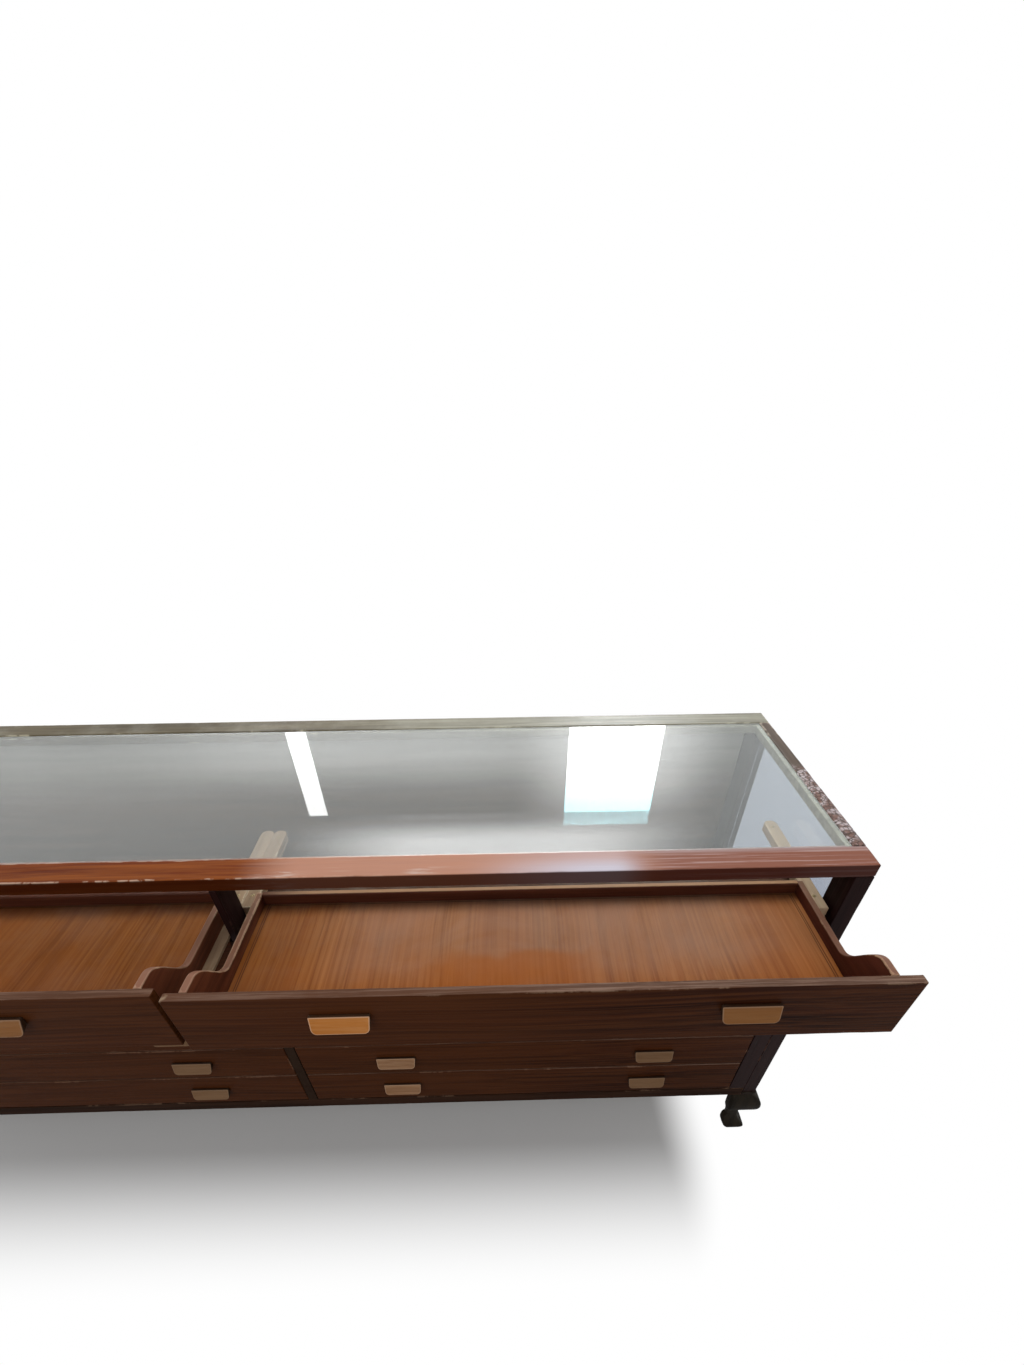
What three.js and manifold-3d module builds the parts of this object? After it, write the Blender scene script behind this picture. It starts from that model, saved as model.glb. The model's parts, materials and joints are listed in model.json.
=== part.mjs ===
// Haberdashery counter cabinet: a glazed display top with two shallow trays that pull
// out, over two bays of lower drawers, on four shaped feet. Behind the drawers the
// cabinet is an open well under the glass, and the trays' guide bars reach over it.
// Millimetres. +X is to the right, +Y to the back and +Z up. The trays stand pulled out.
import * as THREE from 'three';
import { mergeVertices } from 'three/addons/utils/BufferGeometryUtils.js';
import Module from 'manifold-3d';

const wasm = await Module();
wasm.setup();

// Overall sizes
const cabinetWidth = 2120;
const cabinetDepth = 525;
const bayDepth = 193;
const footHeight = 171;
const baseRailHeight = 33;
const rowPitch = 114;
const lowerRowCount = 5;
const displayHeight = 120;
const railHeight = 26;

// Clearances
const seatGap = 0.3;
const slideClearance = 2;
const frontGap = 1.5;
const rowGap = 2;

// Top frame and glass
const frontRailWidth = 48;
const rearRailWidth = 47;
const endRailWidth = 22;
const tongueWidth = 8;
const topGlassThickness = 6;
const topGlassDrop = 2;
const paneThickness = 4;

// Posts, stiles and panels
const postWidth = 32;
const frontPostDepth = 48;
const rearPostDepth = 70;
const centrePostThickness = 12;
const stileWidth = 36;
const stileThickness = 20;
const endPanelThickness = 16;
const endPanelSetback = 8;
const endPanelHeight = 369;
const liningThickness = 10;
const backPanelThickness = 12;
const backPanelSetback = 5;
const bayBackThickness = 12;
const partitionThickness = 20;
const bottomBoardThickness = 12;
const displayFloorThickness = 9;
const displayFloorRise = 8;

// Top trays
const trayPullLeft = 196;
const trayPullRight = 204.6;
const trayDepth = 275;
const trayFrontThickness = 14;
const traySideThickness = 11;
const trayInsetCentre = 19;
const trayInsetEnd = 30.6;
const trayFloorHeight = 18;
const trayFloorThickness = 6;
const trayLowSideHeight = 39.5;
const trayBackHeight = 43;
const humpClearance = 2;
const humpLength = 56.6;
const humpRunOut = 77;
const humpSteps = 10;
const lipWidth = 19;
const lipThickness = 6;

// Guide bars beside the trays
const guideWidthEnd = 26;
const guideHeight = 26;
const guideLength = 247;
const guideFootCentre = 6;
const guideFootEnd = 7;
const guideClearance = 1;

// Lower drawers
const lowerFrontThickness = 16;
const boxRearGap = 12;
const boxWallThickness = 12;
const boxFloorThickness = 6;
const boxFloorRise = 8;
const boxHeadroom = 8;
const runnerWidth = 14;
const runnerHeight = 12;

// Pulls
const pullWidth = 84;
const pullHeight = 28;
const pullFootWidth = 74;
const pullCornerRadius = 8;
const pullTopDepth = 5;
const pullDepth = 15;
const pullBeakHeight = 2;
const pullUndercut = 8;
const lowerPullDrop = 44;
const trayPullDrop = 37;
const pullSpacing = 563;
const pullSeat = 2;

// Foot outlines as shares of the knee's reach beyond the post and of the foot's height
const footReach = 32;
const footInnerReach = 66;
const footFrontReach = 12;
const footBackReach = 60;
const outerReachShares = [-0.06, 0.53, 0.91, 1, 0.75, 0.22, -0.16, -0.31, -0.22, 0.03, 0.47, 0.31];
const outerHeightShares = [1, 0.85, 0.72, 0.64, 0.58, 0.54, 0.53, 0.47, 0.31, 0.18, 0.06, 0];
const innerReachShares = [0.36, 0.61, 0.83, 0.95, 0.94, 0.8, 0.83, 0.98, 1];
const innerHeightShares = [0, 0.08, 0.26, 0.44, 0.56, 0.58, 0.64, 0.85, 1];

// Heights and places that follow from the sizes above
const halfWidth = cabinetWidth / 2;
const rowsBottom = footHeight + baseRailHeight;
const rowsTop = rowsBottom + lowerRowCount * rowPitch;
const railBottom = rowsTop + displayHeight;
const cabinetHeight = railBottom + railHeight;
const displayFloorTop = rowsTop + displayFloorRise;
const displayFloorBottom = displayFloorTop - displayFloorThickness;
const postInner = halfWidth - postWidth;
const stileInner = postInner - stileWidth;
const partitionFace = partitionThickness / 2;
const centrePostFace = centrePostThickness / 2;
const rearPostFront = cabinetDepth - rearPostDepth;
const endPanelOuter = halfWidth - endPanelSetback;
const endPanelInner = endPanelOuter - endPanelThickness;
const backPanelRear = cabinetDepth - backPanelSetback;
const backPanelFront = backPanelRear - backPanelThickness;
const insideBack = backPanelFront - seatGap;
const bayBack = bayDepth - seatGap;
const floorBack = bayDepth + bayBackThickness;
const endPanelTop = footHeight + endPanelHeight;
const frontMost = -Math.max(trayPullLeft, trayPullRight) - pullDepth;
const rearMost = cabinetDepth + footFrontReach;
const pulledDepthMiddle = (rearMost + frontMost) / 2;
const sides = [-1, 1];

function hand(side) {
  return side < 0 ? 'left' : 'right';
}

// Materials
function finish(color, roughness) {
  return new THREE.MeshStandardMaterial({ color, roughness, metalness: 0 });
}
const materials = {
  rail: finish(0x6e3018, 0.42),
  carcass: finish(0x3a1c16, 0.5),
  front: finish(0x3f2015, 0.5),
  veneer: finish(0x9a5a2c, 0.42),
  side: finish(0x74391f, 0.5),
  pull: finish(0xa8713c, 0.55),
  bar: finish(0xb99a74, 0.65),
  inner: finish(0x8a6544, 0.75),
  foot: finish(0x1f1712, 0.55),
  glass: new THREE.MeshStandardMaterial({
    color: 0xdfe6e4, roughness: 0.05, metalness: 0, transparent: true, opacity: 0.3,
  }),
};

// Solids from three.js shapes
function solidFrom(geometry) {
  const bare = geometry.index ? geometry.toNonIndexed() : geometry;
  bare.deleteAttribute('normal');
  bare.deleteAttribute('uv');
  const merged = mergeVertices(bare);
  return new wasm.Manifold(new wasm.Mesh({
    numProp: 3,
    vertProperties: new Float32Array(merged.attributes.position.array),
    triVerts: new Uint32Array(merged.index.array),
  }));
}

function slab([x0, x1], [y0, y1], [z0, z1]) {
  const size = [Math.abs(x1 - x0), Math.abs(y1 - y0), Math.abs(z1 - z0)];
  const box = new THREE.BoxGeometry(...size);
  box.translate((x0 + x1) / 2, (y0 + y1) / 2, (z0 + z1) / 2);
  return solidFrom(box);
}

function joined(solids) {
  return solids.reduce((whole, solid) => whole.add(solid));
}

function extruded(points, length, across, up, along, start) {
  const outline = new THREE.Shape(points.map(([a, b]) => new THREE.Vector2(a, b)));
  const body = new THREE.ExtrudeGeometry(outline, { depth: length, bevelEnabled: false });
  body.applyMatrix4(new THREE.Matrix4().makeBasis(across, up, along));
  body.translate(start.x, start.y, start.z);
  return solidFrom(body);
}

const unitX = new THREE.Vector3(1, 0, 0);
const unitY = new THREE.Vector3(0, 1, 0);
const unitZ = new THREE.Vector3(0, 0, 1);

// An outline in Y and Z that runs along X
function acrossX(points, [x0, x1]) {
  const first = Math.min(x0, x1);
  return extruded(points, Math.abs(x1 - x0), unitY, unitZ, unitX, unitX.clone().multiplyScalar(first));
}

// An outline in X and Z that runs along Y
function acrossY(points, [y0, y1]) {
  const last = Math.max(y0, y1);
  const forward = unitY.clone().negate();
  return extruded(points, Math.abs(y1 - y0), unitX, unitZ, forward, unitY.clone().multiplyScalar(last));
}

// An outline in X and Y that runs along Z
function acrossZ(points, [z0, z1]) {
  return extruded(points, z1 - z0, unitX, unitY, unitZ, unitZ.clone().multiplyScalar(z0));
}

// Points along an arc, in equal steps from one angle to the other
function arc([x, y], radius, fromAngle, toAngle, steps) {
  return Array.from({ length: steps + 1 }, (_, step) => {
    const angle = fromAngle + (toAngle - fromAngle) * step / steps;
    return [x + radius * Math.cos(angle), y + radius * Math.sin(angle)];
  });
}

const cabinet = new THREE.Group();
const assembly = new THREE.Group();
assembly.position.y = -pulledDepthMiddle;
cabinet.add(assembly);

function piece(name, material, solid) {
  const { vertProperties, triVerts } = solid.getMesh();
  const geometry = new THREE.BufferGeometry();
  geometry.setAttribute('position', new THREE.BufferAttribute(vertProperties, 3));
  geometry.setIndex(new THREE.BufferAttribute(triVerts, 1));
  geometry.computeVertexNormals();
  const mesh = new THREE.Mesh(geometry, material);
  mesh.name = name;
  assembly.add(mesh);
}

// Top frame: rails with a tongue under the edge of the glass
const glassBottom = cabinetHeight - topGlassDrop - topGlassThickness;
const tongueTop = glassBottom - seatGap;
const railInnerX = halfWidth - endRailWidth;
const rearRailFront = cabinetDepth - rearRailWidth;

function longRail(outerY, innerY, tongueY) {
  const tongueEnd = railInnerX - tongueWidth - seatGap;
  const rail = slab([-halfWidth, halfWidth], [outerY, innerY], [railBottom, cabinetHeight]);
  const middle = (outerY + innerY) / 2;
  return rail.add(slab([-tongueEnd, tongueEnd], [middle, tongueY], [railBottom, tongueTop]));
}

function endRail(side) {
  const length = [frontRailWidth + seatGap, rearRailFront - seatGap];
  const middle = halfWidth - endRailWidth / 2;
  const rail = slab([side * halfWidth, side * railInnerX], length, [railBottom, cabinetHeight]);
  const tongueX = railInnerX - tongueWidth;
  return rail.add(slab([side * middle, side * tongueX], length, [railBottom, tongueTop]));
}

piece('top_front_rail', materials.rail, longRail(0, frontRailWidth, frontRailWidth + tongueWidth));
piece('top_rear_rail', materials.rail, longRail(cabinetDepth, rearRailFront, rearRailFront - tongueWidth));
sides.forEach((side) => piece(`top_end_rail_${hand(side)}`, materials.rail, endRail(side)));
piece('top_glass', materials.glass, slab(
  [-railInnerX + seatGap, railInnerX - seatGap],
  [frontRailWidth + seatGap, rearRailFront - seatGap],
  [glassBottom, glassBottom + topGlassThickness],
));

// Posts
for (const side of sides) {
  const x = [side * postInner, side * halfWidth];
  const z = [footHeight, railBottom - seatGap];
  piece(`front_post_${hand(side)}`, materials.carcass, slab(x, [0, frontPostDepth], z));
  piece(`rear_post_${hand(side)}`, materials.carcass, slab(x, [rearPostFront, cabinetDepth], z));
}

const floorFront = trayFrontThickness + slideClearance;
const centrePostOutline = [
  [0, rowsTop],
  [floorFront - seatGap, rowsTop],
  [floorFront - seatGap, displayFloorTop + seatGap],
  [frontPostDepth, displayFloorTop + seatGap],
  [frontPostDepth, railBottom - seatGap],
  [0, railBottom - seatGap],
];
piece('centre_post', materials.carcass, acrossX(centrePostOutline, [-centrePostFace, centrePostFace]));

// Glass panes at the ends of the display space
function endPane(side) {
  const middle = (endPanelOuter + endPanelInner) / 2;
  return slab(
    [side * (middle - paneThickness / 2), side * (middle + paneThickness / 2)],
    [frontPostDepth + seatGap, rearPostFront - seatGap],
    [endPanelTop + seatGap, railBottom - seatGap],
  );
}

sides.forEach((side) => piece(`end_glass_${hand(side)}`, materials.glass, endPane(side)));

// Carcass panels
function endPanel(side) {
  return slab(
    [side * endPanelInner, side * endPanelOuter],
    [frontPostDepth + seatGap, rearPostFront - seatGap],
    [footHeight, endPanelTop],
  );
}

const bodyWidth = [-postInner + seatGap, postInner - seatGap];
sides.forEach((side) => piece(`end_panel_${hand(side)}`, materials.carcass, endPanel(side)));
piece('back_panel', materials.carcass, slab(
  bodyWidth, [backPanelFront, backPanelRear], [footHeight, railBottom - seatGap]));
piece('bay_back', materials.inner, slab(
  bodyWidth, [bayDepth, floorBack], [rowsBottom, displayFloorBottom - seatGap]));
piece('display_floor', materials.inner, slab(
  bodyWidth, [floorFront, floorBack], [displayFloorBottom, displayFloorTop]));
piece('bottom_board', materials.inner, slab(
  bodyWidth,
  [stileThickness + seatGap, insideBack],
  [rowsBottom - seatGap - bottomBoardThickness, rowsBottom - seatGap],
));

// Face frame: the base rail with a stile at each end
const baseRail = slab(bodyWidth, [0, stileThickness], [footHeight, rowsBottom - seatGap]);
const faceStiles = sides.map((side) => slab(
  [side * stileInner, side * (postInner - seatGap)],
  [0, stileThickness],
  [footHeight, displayFloorBottom - seatGap],
));
piece('face_frame', materials.carcass, joined([baseRail, ...faceStiles]));

// Upright boards with the runner strips that carry the lower drawers
const rows = Array.from({ length: lowerRowCount }, (_, index) => index);
const boxBack = bayDepth - boxRearGap;

function rowBottom(row) {
  return rowsTop - (row + 1) * rowPitch;
}

function runnerStrip([boardX, tipX], row) {
  const y = [stileThickness + seatGap, bayBack];
  return slab([boardX, tipX], y, [rowBottom(row) + seatGap, rowBottom(row) + runnerHeight]);
}

const boardHeights = [rowsBottom, displayFloorBottom - seatGap];
const partition = slab([-partitionFace, partitionFace], [0, bayBack], boardHeights);
const partitionStrips = rows.map((row) => runnerStrip(
  [-partitionFace - runnerWidth, partitionFace + runnerWidth], row));
piece('centre_partition', materials.carcass, joined([partition, ...partitionStrips]));

for (const side of sides) {
  const boardX = [side * stileInner, side * (stileInner + liningThickness)];
  const stripX = [boardX[1], side * (stileInner - runnerWidth)];
  const board = slab(boardX, [stileThickness + seatGap, bayBack], boardHeights);
  const strips = rows.map((row) => runnerStrip(stripX, row));
  piece(`lining_${hand(side)}`, materials.inner, joined([board, ...strips]));
}

// Feet, sawn to shape from two sides
function footOutline(reach, innerReach) {
  const outer = outerReachShares.map((share, step) => [
    share * reach, outerHeightShares[step] * (footHeight - seatGap)]);
  const inner = innerReachShares.map((share, step) => [
    -share * innerReach, innerHeightShares[step] * (footHeight - seatGap)]);
  return [...outer, ...inner];
}

function foot(side, front) {
  const across = footOutline(footReach, footInnerReach)
    .map(([reach, height]) => [side * (halfWidth + reach), height]);
  const cornerY = front ? 0 : cabinetDepth;
  const direction = front ? -1 : 1;
  const deep = footOutline(footFrontReach, footBackReach)
    .map(([reach, height]) => [cornerY + direction * reach, height]);
  const yRange = [cornerY + direction * footReach, cornerY - direction * footBackReach];
  const xRange = [side * (halfWidth + footReach), side * (halfWidth - footInnerReach)];
  return acrossY(across, yRange).intersect(acrossX(deep, xRange));
}

for (const side of sides) {
  piece(`foot_front_${hand(side)}`, materials.foot, foot(side, true));
  piece(`foot_rear_${hand(side)}`, materials.foot, foot(side, false));
}

// Pulls: a wedge with rounded lower corners and an undercut foot
function pullAt(middleX, frontY, top) {
  const low = top - pullHeight;
  const cornerX = pullFootWidth / 2;
  const cornerZ = low + pullCornerRadius;
  const half = [[pullWidth / 2, top], ...arc(
    [cornerX - pullCornerRadius / 2, cornerZ], pullCornerRadius, 0, -Math.PI / 2, 4)];
  const mirrored = half.map(([x, z]) => [-x, z]).reverse();
  const face = [...half, ...mirrored].map(([x, z]) => [middleX + x, z]);
  const profile = [
    [pullSeat, low + pullUndercut],
    [0, low + pullUndercut],
    [-pullDepth + pullUndercut / 2, low],
    [-pullDepth, low + pullBeakHeight],
    [-pullTopDepth, top],
    [pullSeat, top],
  ].map(([y, z]) => [frontY + y, z]);
  const xRange = [middleX - pullWidth / 2, middleX + pullWidth / 2];
  return acrossY(face, [frontY + pullSeat, frontY - pullDepth]).intersect(acrossX(profile, xRange));
}

// A drawer front with its two pulls
function frontWithPulls([x0, x1], [frontY, backY], [low, top], pullDrop) {
  const middleX = (x0 + x1) / 2;
  const pulls = sides.map((side) => pullAt(
    middleX + side * pullSpacing / 2, frontY, top - pullDrop));
  return joined([slab([x0, x1], [frontY, backY], [low, top]), ...pulls]);
}

// Top trays and the guide bars beside them
const trayFrontTop = railBottom - slideClearance / 2;
const trayFrontBottom = rowsTop + rowGap / 4;
const trayFrontCentreX = centrePostFace + frontGap;
const trayFrontEndX = postInner - frontGap;
const trayCentreX = trayFrontCentreX + trayInsetCentre;
const trayEndX = trayFrontEndX - trayInsetEnd;
const trayBottom = displayFloorTop + seatGap;

function traySideOutline(frontY) {
  const start = frontY + trayFrontThickness + seatGap;
  const back = frontY + trayDepth;
  const humpTop = railBottom - humpClearance;
  const low = displayFloorTop + trayLowSideHeight;
  const curve = Array.from({ length: humpSteps + 1 }, (_, step) => {
    const share = step / humpSteps;
    const fall = (1 - Math.cos(Math.PI * share)) / 2;
    return [frontY + humpLength + humpRunOut * share, humpTop - (humpTop - low) * fall];
  });
  return [[start, trayBottom], [back, trayBottom], [back, low], ...curve.reverse(), [start, humpTop]];
}

function tray(name, side, pull) {
  const frontY = -pull;
  const behindFront = frontY + trayFrontThickness + seatGap;
  const back = frontY + trayDepth;
  const innerCentreX = trayCentreX + traySideThickness;
  const innerEndX = trayEndX - traySideThickness;
  const insideX = [side * (innerCentreX + seatGap), side * (innerEndX - seatGap)];
  const floorTop = displayFloorTop + trayFloorHeight;
  const floorBottom = floorTop - trayFloorThickness;
  const outline = traySideOutline(frontY);
  const lip = [trayBottom, trayBottom + lipThickness];
  const frontX = [side * trayFrontCentreX, side * trayFrontEndX];
  piece(`${name}_front`, materials.front, frontWithPulls(
    frontX, [frontY, frontY + trayFrontThickness], [trayFrontBottom, trayFrontTop], trayPullDrop));
  for (const [place, outerX, innerX, outward] of [
    ['centre', trayCentreX, innerCentreX, -1],
    ['end', trayEndX, innerEndX, 1],
  ]) {
    const board = acrossX(outline, [side * innerX, side * outerX]);
    const lipX = [side * innerX, side * (outerX + outward * lipWidth)];
    piece(`${name}_${place}_side`, materials.side, board.add(slab(lipX, [behindFront, back], lip)));
  }
  piece(`${name}_back`, materials.side, slab(
    insideX,
    [back - traySideThickness, back],
    [floorTop + seatGap, displayFloorTop + trayBackHeight],
  ));
  piece(`${name}_bottom`, materials.veneer, slab(insideX, [behindFront, back], [floorBottom, floorTop]));
}

tray('left_tray', -1, trayPullLeft);
tray('right_tray', 1, trayPullRight);

// A bar that stands on its foot beside the tray's lip and holds the lip down
function guideBar([footX, footInnerX], headX, frontY) {
  const back = trayFrontThickness + guideClearance + guideLength;
  const low = displayFloorTop + seatGap;
  const top = displayFloorTop + guideHeight;
  const lipRoof = trayBottom + lipThickness + guideClearance;
  const section = [
    [footX, low], [footInnerX, low], [footInnerX, lipRoof], [headX, lipRoof], [headX, top], [footX, top],
  ];
  const radius = Math.abs(headX - footX) / 2;
  const middleX = (headX + footX) / 2;
  const rounded = arc([middleX, back - radius], radius, 0, Math.PI, 8);
  const plan = [[middleX - radius, frontY], [middleX + radius, frontY], ...rounded];
  return acrossY(section, [frontY, back]).intersect(acrossZ(plan, [low, top]));
}

for (const side of sides) {
  const centreFoot = [side * seatGap / 2, side * guideFootCentre];
  const centreHead = side * (trayCentreX - guideClearance);
  const endHead = trayEndX + guideClearance;
  const endOuter = endHead + guideWidthEnd;
  const endFoot = [side * endOuter, side * (endOuter - guideFootEnd)];
  const endFront = trayFrontThickness + guideClearance;
  piece(`guide_bar_centre_${hand(side)}`, materials.bar,
    guideBar(centreFoot, centreHead, frontPostDepth + seatGap));
  piece(`guide_bar_end_${hand(side)}`, materials.bar, guideBar(endFoot, side * endHead, endFront));
}

// Lower drawers
const lowerFrontCentreX = partitionFace + frontGap;
const lowerFrontEndX = stileInner - frontGap;

function lowerBox(side, row) {
  const x0 = partitionFace + slideClearance;
  const x1 = stileInner - slideClearance;
  const y0 = lowerFrontThickness + seatGap;
  const y1 = boxBack;
  const low = rowBottom(row) + runnerHeight + seatGap;
  const top = rowBottom(row) + rowPitch - boxHeadroom;
  const insideX = [side * (x0 + boxWallThickness), side * (x1 - boxWallThickness)];
  const insideY = [y0 + boxWallThickness, y1 - boxWallThickness];
  const floorLow = low + boxFloorRise;
  const floorTop = floorLow + boxFloorThickness;
  return slab([side * x0, side * x1], [y0, y1], [low, top])
    .subtract(slab(insideX, insideY, [floorTop, top + boxHeadroom]))
    .subtract(slab(insideX, insideY, [low - boxFloorRise, floorLow]));
}

function lowerDrawer(name, side, row) {
  const low = rowBottom(row) + rowGap / 2;
  const top = rowBottom(row) + rowPitch - rowGap / 2;
  const frontX = [side * lowerFrontCentreX, side * lowerFrontEndX];
  piece(`${name}_front`, materials.front, frontWithPulls(
    frontX, [0, lowerFrontThickness], [low, top], lowerPullDrop));
  piece(`${name}_box`, materials.inner, lowerBox(side, row));
}

for (const row of rows) {
  lowerDrawer(`left_drawer_${row + 1}`, -1, row);
  lowerDrawer(`right_drawer_${row + 1}`, 1, row);
}

export default cabinet;
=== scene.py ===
"""Haberdashery counter cabinet: a glazed display top with two shallow trays pulled out, over
two bays of lower drawers on four shaped feet. Lengths are metres; those in MM are millimetres."""
import json
import math

import bpy
import numpy as np
from mathutils import Matrix, Vector


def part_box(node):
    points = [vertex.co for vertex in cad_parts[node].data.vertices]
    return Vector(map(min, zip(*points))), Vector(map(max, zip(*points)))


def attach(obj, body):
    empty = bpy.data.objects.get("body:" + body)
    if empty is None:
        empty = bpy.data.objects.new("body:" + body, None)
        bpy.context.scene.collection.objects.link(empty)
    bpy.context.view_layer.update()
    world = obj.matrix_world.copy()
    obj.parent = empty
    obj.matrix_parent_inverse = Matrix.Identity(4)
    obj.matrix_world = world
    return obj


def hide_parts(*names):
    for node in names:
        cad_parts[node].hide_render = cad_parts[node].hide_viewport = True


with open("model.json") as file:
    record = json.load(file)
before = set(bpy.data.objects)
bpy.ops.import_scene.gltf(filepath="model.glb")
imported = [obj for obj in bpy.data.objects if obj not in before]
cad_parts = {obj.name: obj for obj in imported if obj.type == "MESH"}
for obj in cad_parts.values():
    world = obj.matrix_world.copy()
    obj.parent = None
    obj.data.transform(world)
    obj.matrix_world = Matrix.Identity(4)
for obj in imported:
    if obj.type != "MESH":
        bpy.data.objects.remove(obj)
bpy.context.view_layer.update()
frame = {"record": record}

MM = 0.001
record = frame["record"]
body_of_node = {n: body for body, names in record["behaviour"]["bodies"].items() for n in names}
tone_draws = np.random.default_rng(41)

X, Y, Z = 0, 1, 2
front_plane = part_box("face_frame")[0].y
half_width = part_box("top_front_rail")[1].x
hands = {"left": -1, "right": 1}


# Node tree helpers

def place(tree, kind, inputs=None, **settings):
    """Adds a node. Its inputs are numbers, colours or the sockets that feed them."""
    node = tree.nodes.new(kind)
    for key, value in settings.items():
        setattr(node, key, value)
    for key, value in (inputs or {}).items():
        feed(tree, node.inputs[key], value)
    return node


def feed(tree, socket, value):
    """Links a socket to the one that feeds it, or sets its value. A colour comes without alpha."""
    if isinstance(value, bpy.types.NodeSocket):
        tree.links.new(value, socket)
    elif socket.type == "RGBA":
        socket.default_value = (*value, 1.0)
    else:
        socket.default_value = value


def maths(tree, operation, first, second=0.0):
    """Arithmetic on two numbers."""
    return place(tree, "ShaderNodeMath", {0: first, 1: second}, operation=operation).outputs[0]


def times(tree, first, *others):
    """The product of two or more numbers."""
    for other in others:
        first = maths(tree, "MULTIPLY", first, other)
    return first


def plus(tree, first, second):
    """The sum of two numbers."""
    return maths(tree, "ADD", first, second)


def vectors(tree, operation, first, second=(0.0, 0.0, 0.0)):
    """Arithmetic on two vectors. A length or a distance is a number."""
    node = place(tree, "ShaderNodeVectorMath", {0: first, 1: second}, operation=operation)
    return node.outputs["Value" if operation in ("LENGTH", "DISTANCE") else "Vector"]


def smooth(tree, value, low, high, to_low=0.0, to_high=1.0):
    """Goes from to_low to to_high in an S curve while the value goes from low to high."""
    node = place(tree, "ShaderNodeMapRange", interpolation_type="SMOOTHSTEP", inputs={
        "Value": value, "From Min": low, "From Max": high, "To Min": to_low, "To Max": to_high})
    return node.outputs[0]


def mixed(tree, share, first, second):
    """The first colour where the share is 0, and the second where it is 1."""
    node = place(tree, "ShaderNodeMix", data_type="RGBA")
    for index, value in ((0, share), (6, first), (7, second)):
        feed(tree, node.inputs[index], value)
    return node.outputs[2]


def laid_over(tree, tint, mask, strength, overlay):
    """The tint with another colour over it, as strong as given where the mask is 1: real marks such
    as pores, dust and wear, and painted highlights, reflections and shade.
    """
    return mixed(tree, times(tree, mask, strength), tint, overlay)


def noise(tree, vector, scale, detail=3.0, rough=0.55, twist=0.0):
    """Cloudy noise, mostly between 0.2 and 0.8. The scale is cycles a metre."""
    node = place(tree, "ShaderNodeTexNoise", {
        "Vector": vector, "Scale": scale, "Detail": detail, "Roughness": rough,
        "Distortion": twist})
    return node.outputs[0]


def object_point(tree):
    """Where a point of the piece lies, in metres."""
    return place(tree, "ShaderNodeTexCoord").outputs["Object"]


def split(tree, vector):
    """A vector's three parts."""
    return place(tree, "ShaderNodeSeparateXYZ", {0: vector}).outputs


def new_group(name, inputs, outputs):
    """An empty node group, with the sockets that it is given and the ones that it gives out."""
    tree = bpy.data.node_groups.new(name, "ShaderNodeTree")
    for label, kind, value in inputs:
        socket = tree.interface.new_socket(name=label, in_out="INPUT", socket_type=kind)
        socket.default_value = value
    for label in outputs:
        tree.interface.new_socket(name=label, in_out="OUTPUT", socket_type="NodeSocketFloat")
    return tree, tree.nodes.new("NodeGroupInput").outputs, tree.nodes.new("NodeGroupOutput").inputs


FLOAT, VECTOR = "NodeSocketFloat", "NodeSocketVector"


def make_grain_group():
    """Long streaks, broad figure and short open pores. Stretch is cycles a metre on each axis."""
    tree, given, out = new_group(
        "timber_grain", [("Stretch", VECTOR, (3.0, 90.0, 90.0))], ["Streaks", "Figure", "Pores"])
    tone = place(tree, "ShaderNodeAttribute", attribute_name="tone").outputs["Fac"]
    shift = place(tree, "ShaderNodeCombineXYZ", {
        0: times(tree, tone, 3.7), 1: times(tree, tone, 5.3), 2: times(tree, tone, 8.1)}).outputs[0]
    moved = vectors(tree, "ADD", object_point(tree), shift)
    bent = place(tree, "ShaderNodeTexNoise", {"Vector": moved, "Scale": 2.6, "Detail": 1.0})
    sway = vectors(tree, "SUBTRACT", bent.outputs["Color"], (0.5, 0.5, 0.5))
    sway = place(tree, "ShaderNodeVectorMath", {0: sway, "Scale": 0.028},
                 operation="SCALE").outputs[0]
    moved = vectors(tree, "ADD", moved, sway)
    long = vectors(tree, "MULTIPLY", moved, given["Stretch"])
    streaks = noise(tree, long, 1.0, 5.0, 0.62, 0.15)
    figure = noise(tree, long, 0.16, 3.0, 0.5, 0.4)
    fine = noise(tree, long, 3.4, 2.0, 0.6)
    for label, value in (("Streaks", smooth(tree, streaks, 0.32, 0.68)),
                         ("Figure", smooth(tree, figure, 0.3, 0.7)),
                         ("Pores", smooth(tree, fine, 0.6, 0.74))):
        feed(tree, out[label], value)
    return tree


def make_wear_group():
    """How bare the finish is near an arris: full at the arris and gone at a reach from it that is
    ragged in some stretches and next to nothing in others. Even is the least share of the reach."""
    tree, given, out = new_group(
        "arris_wear", [("Reach", FLOAT, 0.003), ("Even", FLOAT, 0.05)], ["Worn"])
    arris = place(tree, "ShaderNodeAttribute", attribute_name="arris").outputs["Fac"]
    point = object_point(tree)
    ragged = smooth(tree, noise(tree, point, 60.0, 5.0, 0.7), 0.4, 0.72)
    stretch = smooth(tree, noise(tree, point, 6.0, 3.0, 0.6), 0.48, 0.66)
    share = times(tree, ragged, stretch)
    share = plus(tree, given["Even"], times(tree, share, 1.3))
    reach = times(tree, given["Reach"], share)
    past = maths(tree, "DIVIDE", arris, reach)
    bare = times(tree, smooth(tree, past, 0.3, 1.0, 1.0, 0.0),
                 smooth(tree, share, 0.1, 0.34))
    feed(tree, out["Worn"], bare)
    return tree


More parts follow.
